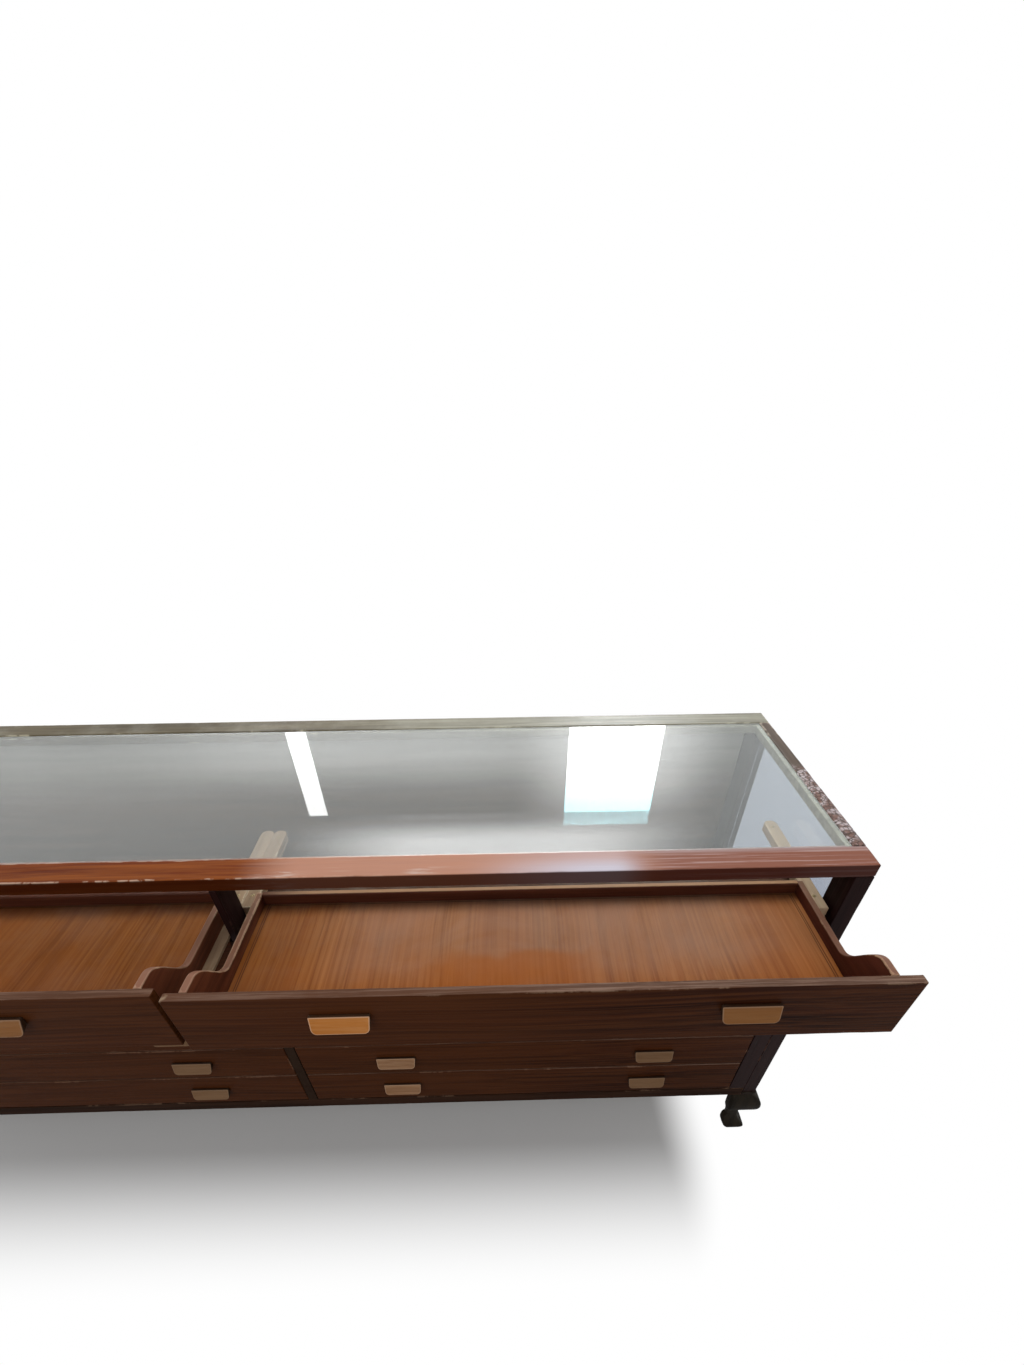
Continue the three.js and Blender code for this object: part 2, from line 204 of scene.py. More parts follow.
def make_grime_group():
    """Dust that lies on top faces, thin scratches along the stretch, and smears."""
    tree, given, out = new_group(
        "grime", [("Stretch", VECTOR, (8.0, 60.0, 60.0))], ["Dust", "Scratches", "Smears"])
    point = object_point(tree)
    lift = split(tree, place(tree, "ShaderNodeNewGeometry").outputs["Normal"])[Z]
    blotch = smooth(tree, noise(tree, point, 7.0, 5.0, 0.7), 0.42, 0.75)
    feed(tree, out["Dust"], times(tree, smooth(tree, lift, 0.3, 0.95), blotch))
    long = vectors(tree, "MULTIPLY", point, given["Stretch"])
    cut = noise(tree, long, 2.2, 6.0, 0.75, 0.6)
    where = smooth(tree, noise(tree, point, 5.0, 2.0), 0.45, 0.7)
    feed(tree, out["Scratches"], times(tree, smooth(tree, cut, 0.62, 0.72), where))
    feed(tree, out["Smears"], noise(tree, point, 3.2, 4.0, 0.6, 1.2))
    return tree


grain_group = make_grain_group()
wear_group = make_wear_group()
grime_group = make_grime_group()


def use(tree, group, **inputs):
    """Puts a node group to work and returns what it gives out."""
    node = place(tree, "ShaderNodeGroup", node_tree=group)
    for key, value in inputs.items():
        feed(tree, node.inputs[key], value)
    return node.outputs


def new_material(name):
    """A material, its node tree and its surface shader."""
    material = bpy.data.materials.new(name)
    material.use_nodes = True
    tree = material.node_tree
    return material, tree, tree.nodes["Principled BSDF"]


# Finishes

def timber(name, dark, mid, light, stretch, gloss, worn=None, reach=0.0, even=0.05, pore=0.35,
           streak=0.5, relief=0.0002, dust=(0.26, 0.22, 0.19), dusty=0.08, scratched=0.1,
           specular=0.15, extra=None):
    """Varnished wood: three tones mixed by figure and streaks, pores that darken it, a bare tone
    along worn arrises, and dust, scratches and smears over it."""
    material, tree, shader = new_material(name)
    grain = use(tree, grain_group, Stretch=stretch)
    grime = use(tree, grime_group, Stretch=tuple(value * 0.7 for value in stretch))
    tint = mixed(tree, grain["Figure"], dark, mid)
    tint = laid_over(tree, tint, grain["Streaks"], streak, light)
    tint = laid_over(tree, tint, grain["Pores"], pore, [value * 0.35 for value in dark])
    tint = laid_over(tree, tint, grime["Scratches"], scratched,
                   [value * 1.7 + 0.02 for value in light])
    rough = plus(tree, gloss - 0.06, times(tree, grime["Smears"], 0.16))
    if worn:
        bare = use(tree, wear_group, Reach=reach, Even=even)["Worn"]
        tint = laid_over(tree, tint, bare, 0.85, worn)
        rough = plus(tree, rough, times(tree, bare, 0.2))
    if extra:
        tint, rough = extra(tree, tint, rough, grain)
    tint = laid_over(tree, tint, grime["Dust"], dusty, dust)
    height = maths(tree, "SUBTRACT", grain["Streaks"], grain["Pores"])
    bump = place(tree, "ShaderNodeBump", {"Height": height, "Strength": 0.6, "Distance": relief})
    feed(tree, shader.inputs["Base Color"], tint)
    feed(tree, shader.inputs["Roughness"], rough)
    feed(tree, shader.inputs["Normal"], bump.outputs[0])
    shader.inputs["Specular IOR Level"].default_value = specular
    return material


def along(axis, slow=3.0, quick=95.0):
    """Cycles a metre on each axis for grain that runs along one of them."""
    return tuple(slow if index == axis else quick for index in range(3))


def normal_part(tree, axis):
    """How far the surface faces along an axis, from -1 to 1."""
    return split(tree, place(tree, "ShaderNodeNewGeometry").outputs["Normal"])[axis]


def streaked(tree, stretch, low, high, detail=6.0):
    """A mask of ragged dashes, drawn out by the stretch."""
    drawn = vectors(tree, "MULTIPLY", object_point(tree), stretch)
    return smooth(tree, noise(tree, drawn, 1.0, detail, 0.72, 0.4), low, high)


def rail_age(tree, tint, rough, grain):
    """The varnish on the top is orange at the left, with white scuffs beside the centre post, a
    pale haze of painted reflection further right that is strongest at the front, and pinker wood
    beyond it. Fine pink streaks run along the right part, where a pale strip of painted reflection
    lies along the back of the top, and the upright faces stay dark."""
    point = object_point(tree)
    place_x, place_y = split(tree, point)[:Z]
    beside = smooth(tree, place_x, 0.03, 0.14)
    pink = smooth(tree, place_x, 0.63, 0.74)
    tint = laid_over(tree, tint, beside, 0.8, (0.5, 0.255, 0.175))
    # Painted reflection: a pale haze where the lights are mirrored in the top, strongest near its
    # front edge
    reflection_haze = times(tree, smooth(tree, place_x, 0.38, 0.62),
                 smooth(tree, place_x, 0.64, 0.71, 1.0, 0.0))
    near = smooth(tree, place_y, front_plane + 0.004, front_plane + 0.04, 1.0, 0.35)
    tint = laid_over(tree, tint, times(tree, reflection_haze, near), 0.85, (0.54, 0.53, 0.62))
    tint = laid_over(tree, tint, pink, 0.8, (0.19, 0.06, 0.038))
    fine = streaked(tree, (4.0, 260.0, 260.0), 0.5, 0.66)
    tint = laid_over(tree, tint, fine, times(tree, pink, 0.5), (0.5, 0.36, 0.34))
    # Painted reflection: a pale strip along the back of the top in the right part
    behind = times(tree, smooth(tree, place_y, front_plane + 0.034, front_plane + 0.046), pink)
    tint = laid_over(tree, tint, behind, 0.5, (0.42, 0.34, 0.34))
    scuff = streaked(tree, (7.0, 110.0, 110.0), 0.5, 0.62)
    left_part = smooth(tree, place_x, 0.3, 0.42, 1.0, 0.0)
    zone = times(tree, smooth(tree, noise(tree, point, 5.0, 2.0), 0.4, 0.56),
                 smooth(tree, place_x, 0.02, 0.1))
    front_half = smooth(tree, place_y, front_plane + 0.012, front_plane + 0.03, 1.0, 0.12)
    pale = times(tree, times(tree, scuff, zone), times(tree, left_part, front_half))
    tint = laid_over(tree, tint, pale, 0.8, (0.6, 0.5, 0.45))
    upright = smooth(tree, normal_part(tree, Z), 0.2, 0.85, 1.0, 0.0)
    side = mixed(tree, pink, (0.042, 0.008, 0.002), (0.045, 0.01, 0.007))
    tint = laid_over(tree, tint, upright, 0.88, side)
    return tint, plus(tree, rough, times(tree, scuff, 0.15))


def bleached_rear(tree, tint, rough, grain):
    """The rear rail is bleached towards the right."""
    share = smooth(tree, split(tree, object_point(tree))[X], 0.0, 0.4, 0.0, 0.55)
    bleach = mixed(tree, grain["Streaks"], (0.26, 0.25, 0.2), (0.48, 0.47, 0.38))
    return mixed(tree, share, tint, bleach), rough


def peeled_varnish(tree, tint, rough, grain):
    """A crackled strip of lifted, greyed varnish at the front, and bare greyed wood behind it."""
    point = object_point(tree)
    cells = place(tree, "ShaderNodeTexVoronoi", {"Vector": point, "Scale": 120.0},
                  feature="DISTANCE_TO_EDGE").outputs["Distance"]
    crack = smooth(tree, cells, 0.02, 0.14)
    flake = smooth(tree, noise(tree, point, 55.0, 4.0, 0.7), 0.44, 0.58)
    edge = plus(tree, split(tree, point)[Y], times(tree, noise(tree, point, 20.0), 0.04))
    part = smooth(tree, edge, front_plane + 0.29, front_plane + 0.33, 1.0, 0.0)
    grey = mixed(tree, flake, (0.2, 0.1, 0.08), (0.6, 0.52, 0.53))
    grey = mixed(tree, crack, (0.03, 0.014, 0.01), grey)
    tint = laid_over(tree, tint, part, 0.8, grey)
    return tint, plus(tree, rough, times(tree, part, 0.12))


def stringing(tree, tint, rough, grain):
    """Two thin dark lines let into the veneer round its edge, broad bands of redder and paler leaf,
    a pale sheen painted over the rear half as a reflection of the lights behind, wood that is
    darker towards the tray's back, and an orange mark where something was spilt at the front of the
    right tray."""
    arris = place(tree, "ShaderNodeAttribute", attribute_name="arris").outputs["Fac"]
    point = object_point(tree)
    place_x, place_y = split(tree, point)[:Z]
    band = noise(tree, vectors(tree, "MULTIPLY", point, (7.0, 0.6, 1.0)), 1.0, 3.0)
    tint = laid_over(tree, tint, smooth(tree, band, 0.42, 0.66), 0.5, (0.36, 0.1, 0.018))
    patchy = smooth(tree, noise(tree, point, 4.5, 5.0, 0.65, 0.8), 0.3, 0.7, 0.45, 1.0)
    across = times(tree, smooth(tree, place_x, 0.1, 0.3),
                   smooth(tree, place_x, 0.78, 0.98, 1.0, 0.25))
    rear = smooth(tree, place_y, front_plane - 0.15, front_plane - 0.04)
    # Painted reflection: a pale sheen over the rear half, where the lights behind are mirrored at a
    # low angle
    painted_sheen = times(tree, patchy, across, rear)
    tint = laid_over(tree, tint, painted_sheen, 0.55, (0.46, 0.27, 0.19))
    dull = smooth(tree, place_x, 0.02, 0.22, 0.42, 0.0)
    tint = mixed(tree, dull, tint, (0.12, 0.035, 0.008))
    ragged = times(tree, noise(tree, point, 9.0, 3.0), 0.09)
    spill = times(tree, smooth(tree, plus(tree, place_x, ragged), 0.37, 0.43),
                  smooth(tree, place_x, 0.54, 0.64, 1.0, 0.0),
                  smooth(tree, plus(tree, place_y, ragged), front_plane - 0.03, front_plane,
                         1.0, 0.0))
    tint = laid_over(tree, tint, spill, 0.6, (0.4, 0.105, 0.01))
    # The floor is darker towards the tray's back
    darker_back = smooth(tree, place_y, front_plane + 0.026, front_plane + 0.058, 0.0, 0.65)
    tint = mixed(tree, darker_back, tint, (0.05, 0.018, 0.01))
    for middle in (8.0 * MM, 11.5 * MM):
        off = maths(tree, "ABSOLUTE", maths(tree, "SUBTRACT", arris, middle))
        line = smooth(tree, off, 0.5 * MM, 1.0 * MM, 1.0, 0.0)
        tint = laid_over(tree, tint, line, 0.75, (0.03, 0.014, 0.01))
    return tint, plus(tree, rough, times(tree, painted_sheen, 0.12))


def scuffed_and_lit_top(tree, tint, rough, grain):
    """The top edge is painted paler all along, as a highlight where it faces up into the light,
    with dry pale streaks on it, and the wood is redder towards the left of a front.
    """
    # Painted highlight on the up-facing top edge, with dry streaks in it
    lift = smooth(tree, normal_part(tree, Z), 0.55, 0.9)
    streaks = streaked(tree, (6.0, 260.0, 260.0), 0.42, 0.62)
    dry_and_lit = plus(tree, 0.3, times(tree, streaks, 0.6))
    tint = laid_over(tree, tint, lift, dry_and_lit, (0.24, 0.15, 0.11))
    place_x = split(tree, object_point(tree))[X]
    warm = smooth(tree, place_x, 0.4, 0.65, 1.0, 0.0)
    return laid_over(tree, tint, warm, 0.4, (0.075, 0.022, 0.006)), rough


low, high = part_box("right_tray_front")
chip_corner = (low.x, low.y + 20 * MM, high.z)


def chipped(tree, tint, rough, grain):
    """As the other fronts, with a bare chip at the top left corner."""
    tint, rough = scuffed_and_lit_top(tree, tint, rough, grain)
    point = object_point(tree)
    away = vectors(tree, "DISTANCE", point, chip_corner)
    away = plus(tree, away, times(tree, noise(tree, point, 120.0), 0.02))
    bare = smooth(tree, away, 0.011, 0.018, 0.55, 0.0)
    return mixed(tree, bare, tint, (0.36, 0.26, 0.17)), rough


def rubbed_and_lit_top(tree, tint, rough, grain):
    """Faces that look up are paler than the upright ones: rubbed, and painted lighter as a
    highlight where the tops catch the light.
    """
    lift = smooth(tree, normal_part(tree, Z), 0.35, 0.85)
    # Painted light on the up-facing faces, over the rubbing
    return laid_over(tree, tint, lift, 0.55, (0.3, 0.15, 0.095)), rough


def golden_top(tree, tint, rough, grain):
    """A bare golden line along the middle of the top edge, in the right bay only."""
    lift = smooth(tree, normal_part(tree, Z), 0.8, 0.97)
    share = smooth(tree, split(tree, object_point(tree))[X], 0.02, 0.14, 0.0, 0.75)
    return laid_over(tree, tint, lift, share, (0.5, 0.27, 0.14)), rough


def handled(tree, tint, rough, grain):
    """Fingers keep the face bare and golden. It is darkened as painted shade in the left bay and at
    the right end, away from the lit middle; the top and the sides are near black, dark varnish with
    painted shade over it."""
    # Painted shade with the dark varnish: the top and the sides are near black
    dark_top_and_sides = smooth(tree, normal_part(tree, Y), -0.85, -0.5)
    place_x = split(tree, object_point(tree))[X]
    # Painted shade: the face darkens away from the lit middle
    dull = maths(tree, "MAXIMUM", smooth(tree, place_x, -0.15, 0.1, 0.6, 0.0),
                 smooth(tree, place_x, 0.4, 0.68, 0.0, 0.62))
    tint = mixed(tree, dull, tint, (0.09, 0.05, 0.022))
    return laid_over(tree, tint, dark_top_and_sides, 0.93, (0.02, 0.008, 0.004)), rough


def dark_front_edge(tree, tint, rough, grain):
    """The front edge is dark, like the fronts beside it."""
    dark = smooth(tree, split(tree, object_point(tree))[Y], front_plane + 0.016,
                  front_plane + 0.022, 1.0, 0.0)
    return laid_over(tree, tint, dark, 0.93, (0.014, 0.006, 0.004)), rough


def bleached_inside(tree, tint, rough, grain):
    """The side that faces into the cabinet is lighter, and bleached to grey towards the glass."""
    inner = smooth(tree, normal_part(tree, Y), -0.6, -0.3, 1.0, 0.0)
    height = split(tree, object_point(tree))[Z]
    warm = mixed(tree, grain["Streaks"], (0.105, 0.05, 0.024), (0.15, 0.078, 0.038))
    bleach = mixed(tree, grain["Streaks"], (0.5, 0.48, 0.45), (0.59, 0.57, 0.54))
    inside = mixed(tree, smooth(tree, height, 0.66, 0.9), warm, bleach)
    return mixed(tree, inner, tint, inside), rough


rail_wood = timber(
    "rail_wood", (0.085, 0.012, 0.002), (0.19, 0.036, 0.004), (0.38, 0.11, 0.018), along(X),
    gloss=0.3, worn=(0.5, 0.34, 0.25), reach=0.002, scratched=0.12, dusty=0.02, specular=0.08,
    extra=rail_age)
end_rail_wood = timber(
    "end_rail_wood", (0.045, 0.024, 0.015), (0.085, 0.055, 0.036), (0.15, 0.105, 0.075), along(Y),
    gloss=0.4, worn=(0.36, 0.3, 0.24), reach=0.004, specular=0.25, extra=peeled_varnish)
rear_rail_wood = timber(
    "rear_rail_wood", (0.05, 0.035, 0.014), (0.1, 0.075, 0.032), (0.18, 0.14, 0.07), along(X),
    gloss=0.36, worn=(0.42, 0.38, 0.27), reach=0.004, dust=(0.55, 0.54, 0.46), dusty=0.25,
    specular=0.3, extra=bleached_rear)
dark_tones = dict(dark=(0.007, 0.0022, 0.0022), mid=(0.014, 0.005, 0.005),
    light=(0.03, 0.012, 0.011), reach=0.003, specular=0.05)
post_wood = timber(
    "post_wood", **dark_tones, stretch=along(Z), gloss=0.38, worn=(0.06, 0.028, 0.02))
panel_wood = timber(
    "panel_wood", **dark_tones, stretch=along(Z, 2.0, 55.0), gloss=0.42, worn=(0.12, 0.06, 0.04))
base_wood = timber(
    "base_wood", (0.012, 0.0045, 0.002), (0.026, 0.0095, 0.0045), (0.055, 0.024, 0.013), along(X),
    gloss=0.5, worn=(0.12, 0.07, 0.045), reach=0.002, even=0.1, specular=0.03)
back_wood = timber(
    "back_wood", (0.035, 0.018, 0.011), (0.07, 0.04, 0.025), (0.12, 0.075, 0.05),
    along(X, 2.0, 45.0), gloss=0.5, worn=(0.2, 0.13, 0.08), reach=0.003, extra=bleached_inside)
front_tones = dict(
    dark=(0.011, 0.0024, 0.001), mid=(0.036, 0.0085, 0.0028), light=(0.095, 0.03, 0.009),
    stretch=along(X, 2.2, 190.0), pore=0.5, streak=0.6, specular=0.03)
front_wood = timber(
    "front_wood", **front_tones, gloss=0.4, worn=(0.2, 0.11, 0.07), reach=0.0018, extra=scuffed_and_lit_top)
chipped_front_wood = timber(
    "chipped_front_wood", **front_tones, gloss=0.36, worn=(0.16, 0.095, 0.06), reach=0.002,
    even=0.1, extra=chipped)
centre_side_wood = timber(
    "centre_side_wood", (0.05, 0.012, 0.006), (0.105, 0.027, 0.012), (0.2, 0.06, 0.026),
    along(Y, 4.0, 90.0), gloss=0.42, worn=(0.46, 0.3, 0.19), reach=0.003, even=0.2,
    extra=rubbed_and_lit_top)
end_side_wood = timber(
    "end_side_wood", (0.035, 0.007, 0.004), (0.065, 0.014, 0.009), (0.13, 0.036, 0.02),
    along(Y, 4.0, 90.0), gloss=0.42, worn=(0.42, 0.26, 0.15), reach=0.003, even=0.15,
    extra=rubbed_and_lit_top)
tray_back_wood = timber(
    "tray_back_wood", (0.045, 0.011, 0.006), (0.075, 0.02, 0.01), (0.13, 0.04, 0.02), along(X),
    gloss=0.42, extra=golden_top)
veneer = timber(
    "tray_veneer", (0.2, 0.052, 0.008), (0.33, 0.098, 0.018), (0.5, 0.19, 0.05),
    along(Y, 1.6, 190.0), gloss=0.42, pore=0.5, streak=0.65, relief=0.0001, extra=stringing,
    dusty=0.1, specular=0.1)
bar_grain = dict(stretch=along(Y, 3.0, 80.0), gloss=0.55, reach=0.003)
bar_wood = timber(
    "bar_wood", dark=(0.2, 0.12, 0.07), mid=(0.3, 0.19, 0.115), light=(0.4, 0.27, 0.17),
    worn=(0.5, 0.38, 0.27), **bar_grain)
pale_bar_wood = timber(
    "pale_bar_wood", dark=(0.38, 0.24, 0.14), mid=(0.48, 0.33, 0.21), light=(0.6, 0.45, 0.31),
    worn=(0.6, 0.48, 0.36), **bar_grain)
inner_tones = dict(dark=(0.13, 0.07, 0.035), mid=(0.2, 0.12, 0.065), light=(0.3, 0.2, 0.12))
inner_wear = dict(gloss=0.62, worn=(0.4, 0.28, 0.18), reach=0.003, dusty=0.3)
inner_wood = timber("inner_wood", **inner_tones, stretch=along(X, 2.5, 60.0), **inner_wear)
inner_side_wood = timber(
    "inner_side_wood", **inner_tones, stretch=along(Y, 2.5, 60.0), **inner_wear)
runner_wood = timber(
    "runner_wood", **inner_tones, stretch=along(Y, 2.5, 60.0), gloss=0.66, specular=0.03,
    extra=dark_front_edge)
display_wood = timber(
    "display_wood", (0.05, 0.018, 0.008), (0.09, 0.034, 0.015), (0.16, 0.07, 0.034),
    along(X, 2.5, 50.0), gloss=0.5, worn=(0.3, 0.2, 0.12), reach=0.003, dusty=0.3)
foot_wood = timber(
    "foot_wood", (0.005, 0.0032, 0.0016), (0.011, 0.0075, 0.0042), (0.03, 0.022, 0.013),
    along(Z, 9.0, 60.0), gloss=0.46, worn=(0.1, 0.085, 0.06), reach=0.004, dusty=0.2, specular=0.08)
pull_tones = dict(stretch=along(X, 9.0, 190.0), gloss=0.42, pore=0.25, reach=0.0035, even=0.42,
    extra=handled)
pull_wood = timber(
    "pull_wood", dark=(0.3, 0.095, 0.014), mid=(0.44, 0.155, 0.026), light=(0.5, 0.22, 0.07),
    worn=(0.56, 0.32, 0.19), **pull_tones)
dull_pull_wood = timber(
    "dull_pull_wood", dark=(0.18, 0.085, 0.038), mid=(0.29, 0.15, 0.072),
    light=(0.42, 0.245, 0.135), worn=(0.42, 0.26, 0.16), **pull_tones)


def screw_metal():
    """Dull brass with a darker tarnish in patches."""
    material, tree, shader = new_material("screw_brass")
    patch = noise(tree, object_point(tree), 420.0, 4.0, 0.7)
    brass = mixed(tree, patch, (0.16, 0.11, 0.06), (0.5, 0.38, 0.2))
    feed(tree, shader.inputs["Base Color"], brass)
    feed(tree, shader.inputs["Roughness"], plus(tree, 0.25, times(tree, patch, 0.3)))
    shader.inputs["Metallic"].default_value = 1.0
    return material


def clear_glass(name, tint, veil):
    """Clear glass under a thin film of dust, which smears a little. Shadow rays pass through it."""
    material, tree, shader = new_material(name)
    point = object_point(tree)
    smear = smooth(tree, noise(tree, point, 5.0, 5.0, 0.65, 1.0), 0.5, 0.8)
    feed(tree, shader.inputs["Roughness"], plus(tree, 0.012, times(tree, smear, 0.05)))
    dimmed = [value * 0.97 for value in tint]
    feed(tree, shader.inputs["Base Color"], mixed(tree, smear, tint, dimmed))
    shader.inputs["Transmission Weight"].default_value = veil
    shader.inputs["IOR"].default_value = 1.5
    ray = place(tree, "ShaderNodeLightPath").outputs["Is Shadow Ray"]
    through = place(tree, "ShaderNodeBsdfTransparent", {"Color": (0.86, 0.9, 0.89)})
    either = place(tree, "ShaderNodeMixShader", {
        0: ray, 1: shader.outputs[0], 2: through.outputs[0]})
    feed(tree, tree.nodes["Material Output"].inputs["Surface"], either.outputs[0])
    return material


screw_brass = screw_metal()
top_glass = clear_glass("top_glass", (0.95, 0.98, 0.97), 0.94)
pane_glass = clear_glass("pane_glass", (0.45, 0.49, 0.57), 0.93)


# Surfaces

def flanked(first, middle, last):
    """Rows of values, with one more value before and one more after each row."""
    return np.concatenate([first[:, None], middle, last[:, None]], 1)


def outline(corners, radii, reach, step):
    """Walks a closed polygon anticlockwise. A rounded corner is an arc about a centre on its
    bisector, and a corner of radius 0 is a point of a curve. One more point stands at the reach
    past each arc, and long sides are divided by the step. Each point has a base, an outward
    normal, a radius, a mitre and its distance from the nearest corner."""
    corners, radii = np.asarray(corners, float), np.asarray(radii, float)
    before, after = corners - np.roll(corners, 1, 0), np.roll(corners, -1, 0) - corners
    lengths = np.linalg.norm(before, axis=1), np.linalg.norm(after, axis=1)
    before, after = before / lengths[0][:, None], after / lengths[1][:, None]
    first = np.stack([before[:, 1], -before[:, 0]], 1)
    last = np.stack([after[:, 1], -after[:, 0]], 1)
    mitre = (first + last) / (1 + (first * last).sum(1))[:, None]
    turn = np.sign(before[:, 0] * after[:, 1] - before[:, 1] * after[:, 0])
    signed = radii * np.where(turn < 0, -1, 1)
    arc_points = 5
    share = np.linspace(0, 1, arc_points)[None, :, None]
    arc = first[:, None] * (1 - share) + last[:, None] * share
    arc /= np.linalg.norm(arc, axis=2)[..., None]
    shape = arc.shape
    base = np.broadcast_to((corners - mitre * signed[:, None])[:, None], shape)
    out_reach = [np.minimum(reach, length * 0.3) for length in lengths]
    near = [corners - before * out_reach[0][:, None], corners + after * out_reach[1][:, None]]
    bases = flanked(near[0], base, near[1])
    normals = flanked(first, arc, last)
    flat = np.zeros(len(corners))
    round_radii = flanked(flat, np.repeat(signed[:, None], arc_points, 1), flat)
    mitres = flanked(first, np.broadcast_to(mitre[:, None], shape), last)
    far = flanked(out_reach[0], np.zeros((len(corners), arc_points)), out_reach[1])
    on_curve = radii == 0
    far[on_curve] = reach
    keep, centre = np.ones(far.shape, bool), (arc_points + 1) // 2
    keep[on_curve] = np.arange(arc_points + 2) == centre
    normals[on_curve, centre] = (mitre / np.linalg.norm(mitre, axis=1)[:, None])[on_curve]
    columns = np.concatenate([bases[keep], normals[keep], round_radii[keep][:, None], mitres[keep],
                              far[keep][:, None]], 1)
    closed = np.concatenate([columns, columns[:1]])
    points = closed[:, :2] + closed[:, 2:4] * closed[:, 4:5]
    run = np.concatenate([[0], np.cumsum(np.linalg.norm(np.diff(points, axis=0), axis=1))])
    wanted = np.arange(step, run[-1], step)
    place_in = np.searchsorted(run, wanted) - 1
    span = run[place_in + 1] - run[place_in]
    clear = (wanted - run[place_in] > step * 0.3) & (run[place_in + 1] - wanted > step * 0.3)
    stations = np.unique(np.concatenate([run[:-1], wanted[(span > step) & clear]]))
    table = np.stack([np.interp(stations, run, column) for column in closed.T], 1)
    return table, stations


def drawn_in(table, distance):
    """The outline moved inwards by a distance for each point."""
    base, normal, radius, mitre = table[:, :2], table[:, 2:4], table[:, 4], table[:, 5:7]
    least = 0.02 * MM
    reach = np.where(radius > 0, np.maximum(radius - distance, least),
                     np.where(radius < 0, radius - distance, 0))
    slide = np.where(radius < 0, 0, np.maximum(distance - radius, 0))
    return base + normal * reach[:, None] - mitre * slide[:, None]


def uneven(stations, amount, seed):
    """A slow wander of an arris: three sines of the distance along it, none below zero."""
    total = stations[-1] + 1e-9
    turns = np.array([7.0, 19.0, 43.0]) * max(total, 0.2) / 2
    phases = np.array([0.7, 2.1, 4.4]) + seed * 6.3
    angle = 2 * np.pi * np.round(turns)[:, None] * (stations / total)[None] + phases[:, None]
    return amount * np.maximum((np.sin(angle) * np.array([[0.5], [0.3], [0.35]])).sum(0), 0) ** 1.5


def plate_surface(corners, radii, axis, low, high, soften, inset=6 * MM, step=30 * MM, rough=0.0,
                  face_insets=None, seed=0.0):
    """A board of the outline's shape. A quarter round of radius soften is carried round both
    edges: at angle t it is drawn in by soften(1 - sin t) and lies soften(1 - cos t) inside the
    face. The faces close on the outline drawn in."""
    table, stations = outline(corners, radii, inset * 1.2, step)
    far = table[:, 7]
    middle = (low + high) / 2
    wander = uneven(stations, rough, seed)
    faces_in = face_insets or (inset,)
    rows = [(np.full(len(far), value), low, 0.0, value) for value in reversed(faces_in)]
    for angle in np.radians([0, 22.5, 45, 67.5, 90]):
        rows.append((soften * (1 - math.sin(angle)) + wander * math.cos(angle),
                     low + soften * (1 - math.cos(angle)), math.sin(angle), 0.0))
    band = min(inset, (high - low) / 2 - soften)
    rows.append((np.zeros(len(far)), low + soften + band, 1.0, band))
    mirrored = [(draw, 2 * middle - at, out, away) for draw, at, out, away in reversed(rows)]
    if band < inset:
        mirrored = mirrored[1:]
    sides = [-1] * len(rows) + [1] * len(mirrored)
    plane = [(axis + 1) % 3, (axis + 2) % 3]
    points = np.zeros((len(sides), len(far), 3))
    normals = np.zeros_like(points)
    arris = np.zeros((len(sides), len(far)))
    for index, ((draw, at, out, away), side) in enumerate(zip(rows + mirrored, sides)):
        points[index][:, plane] = drawn_in(table, draw)
        points[index, :, axis] = at
        normals[index][:, plane] = table[:, 2:4] * out
        normals[index, :, axis] = side * math.sqrt(max(0.0, 1 - out * out))
        arris[index] = np.minimum(away, far) if out == 1.0 else away
    return closed_grid(points), points.reshape(-1, 3), normals.reshape(-1, 3), arris.ravel()


def closed_grid(points):
    """Quads between neighbouring rings, and one face over each end ring."""
    rings, count = points.shape[:2]
    ring, spot = np.meshgrid(np.arange(rings - 1), np.arange(count), indexing="ij")
    beyond = (spot + 1) % count
    quads = np.stack([ring * count + spot, ring * count + beyond, (ring + 1) * count + beyond,
                      (ring + 1) * count + spot], -1).reshape(-1, 4)
    start = list(range(count - 1, -1, -1))
    end = list(range((rings - 1) * count, rings * count))
    return quads.tolist() + [start, end]


def joined(*surfaces):
    """Several surfaces as one."""
    faces, points, normals, arris, first = [], [], [], [], 0
    for some_faces, some_points, some_normals, some_arris in surfaces:
        faces += [[index + first for index in face] for face in some_faces]
        first += len(some_points)
        points.append(some_points)
        normals.append(some_normals)
        arris.append(some_arris)
    return faces, np.concatenate(points), np.concatenate(normals), np.concatenate(arris)


def finish_piece(name, surface, finish, node, replace=True, own_normals=True):
    """Puts a surface into a mesh that rides with the CAD node's body and stands for that node."""
    faces, points, normals, arris = surface
    mesh = bpy.data.meshes.new(name)
    mesh.from_pydata(points.tolist(), [], faces)
    mesh.polygons.foreach_set("use_smooth", np.ones(len(mesh.polygons), bool))
    tone = np.full(len(points), tone_draws.random())
    for label, values in (("arris", arris), ("tone", tone)):
        attribute = mesh.attributes.new(label, "FLOAT", "POINT")
        attribute.data.foreach_set("value", values.astype(np.float32))
    if own_normals:
        mesh.normals_split_custom_set_from_vertices(normals.tolist())
    else:
        mesh.set_sharp_from_angle(angle=math.radians(50))
    mesh.materials.append(finish)
    piece = bpy.data.objects.new(name, mesh)
    bpy.context.scene.collection.objects.link(piece)
    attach(piece, body_of_node[node])
    if replace:
        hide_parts(node)
    return piece


def rectangle(low, high, axis):
    """The four corners of a box as seen along an axis, anticlockwise."""
    p, q = (axis + 1) % 3, (axis + 2) % 3
    return [(low[p], low[q]), (high[p], low[q]), (high[p], high[q]), (low[p], high[q])]


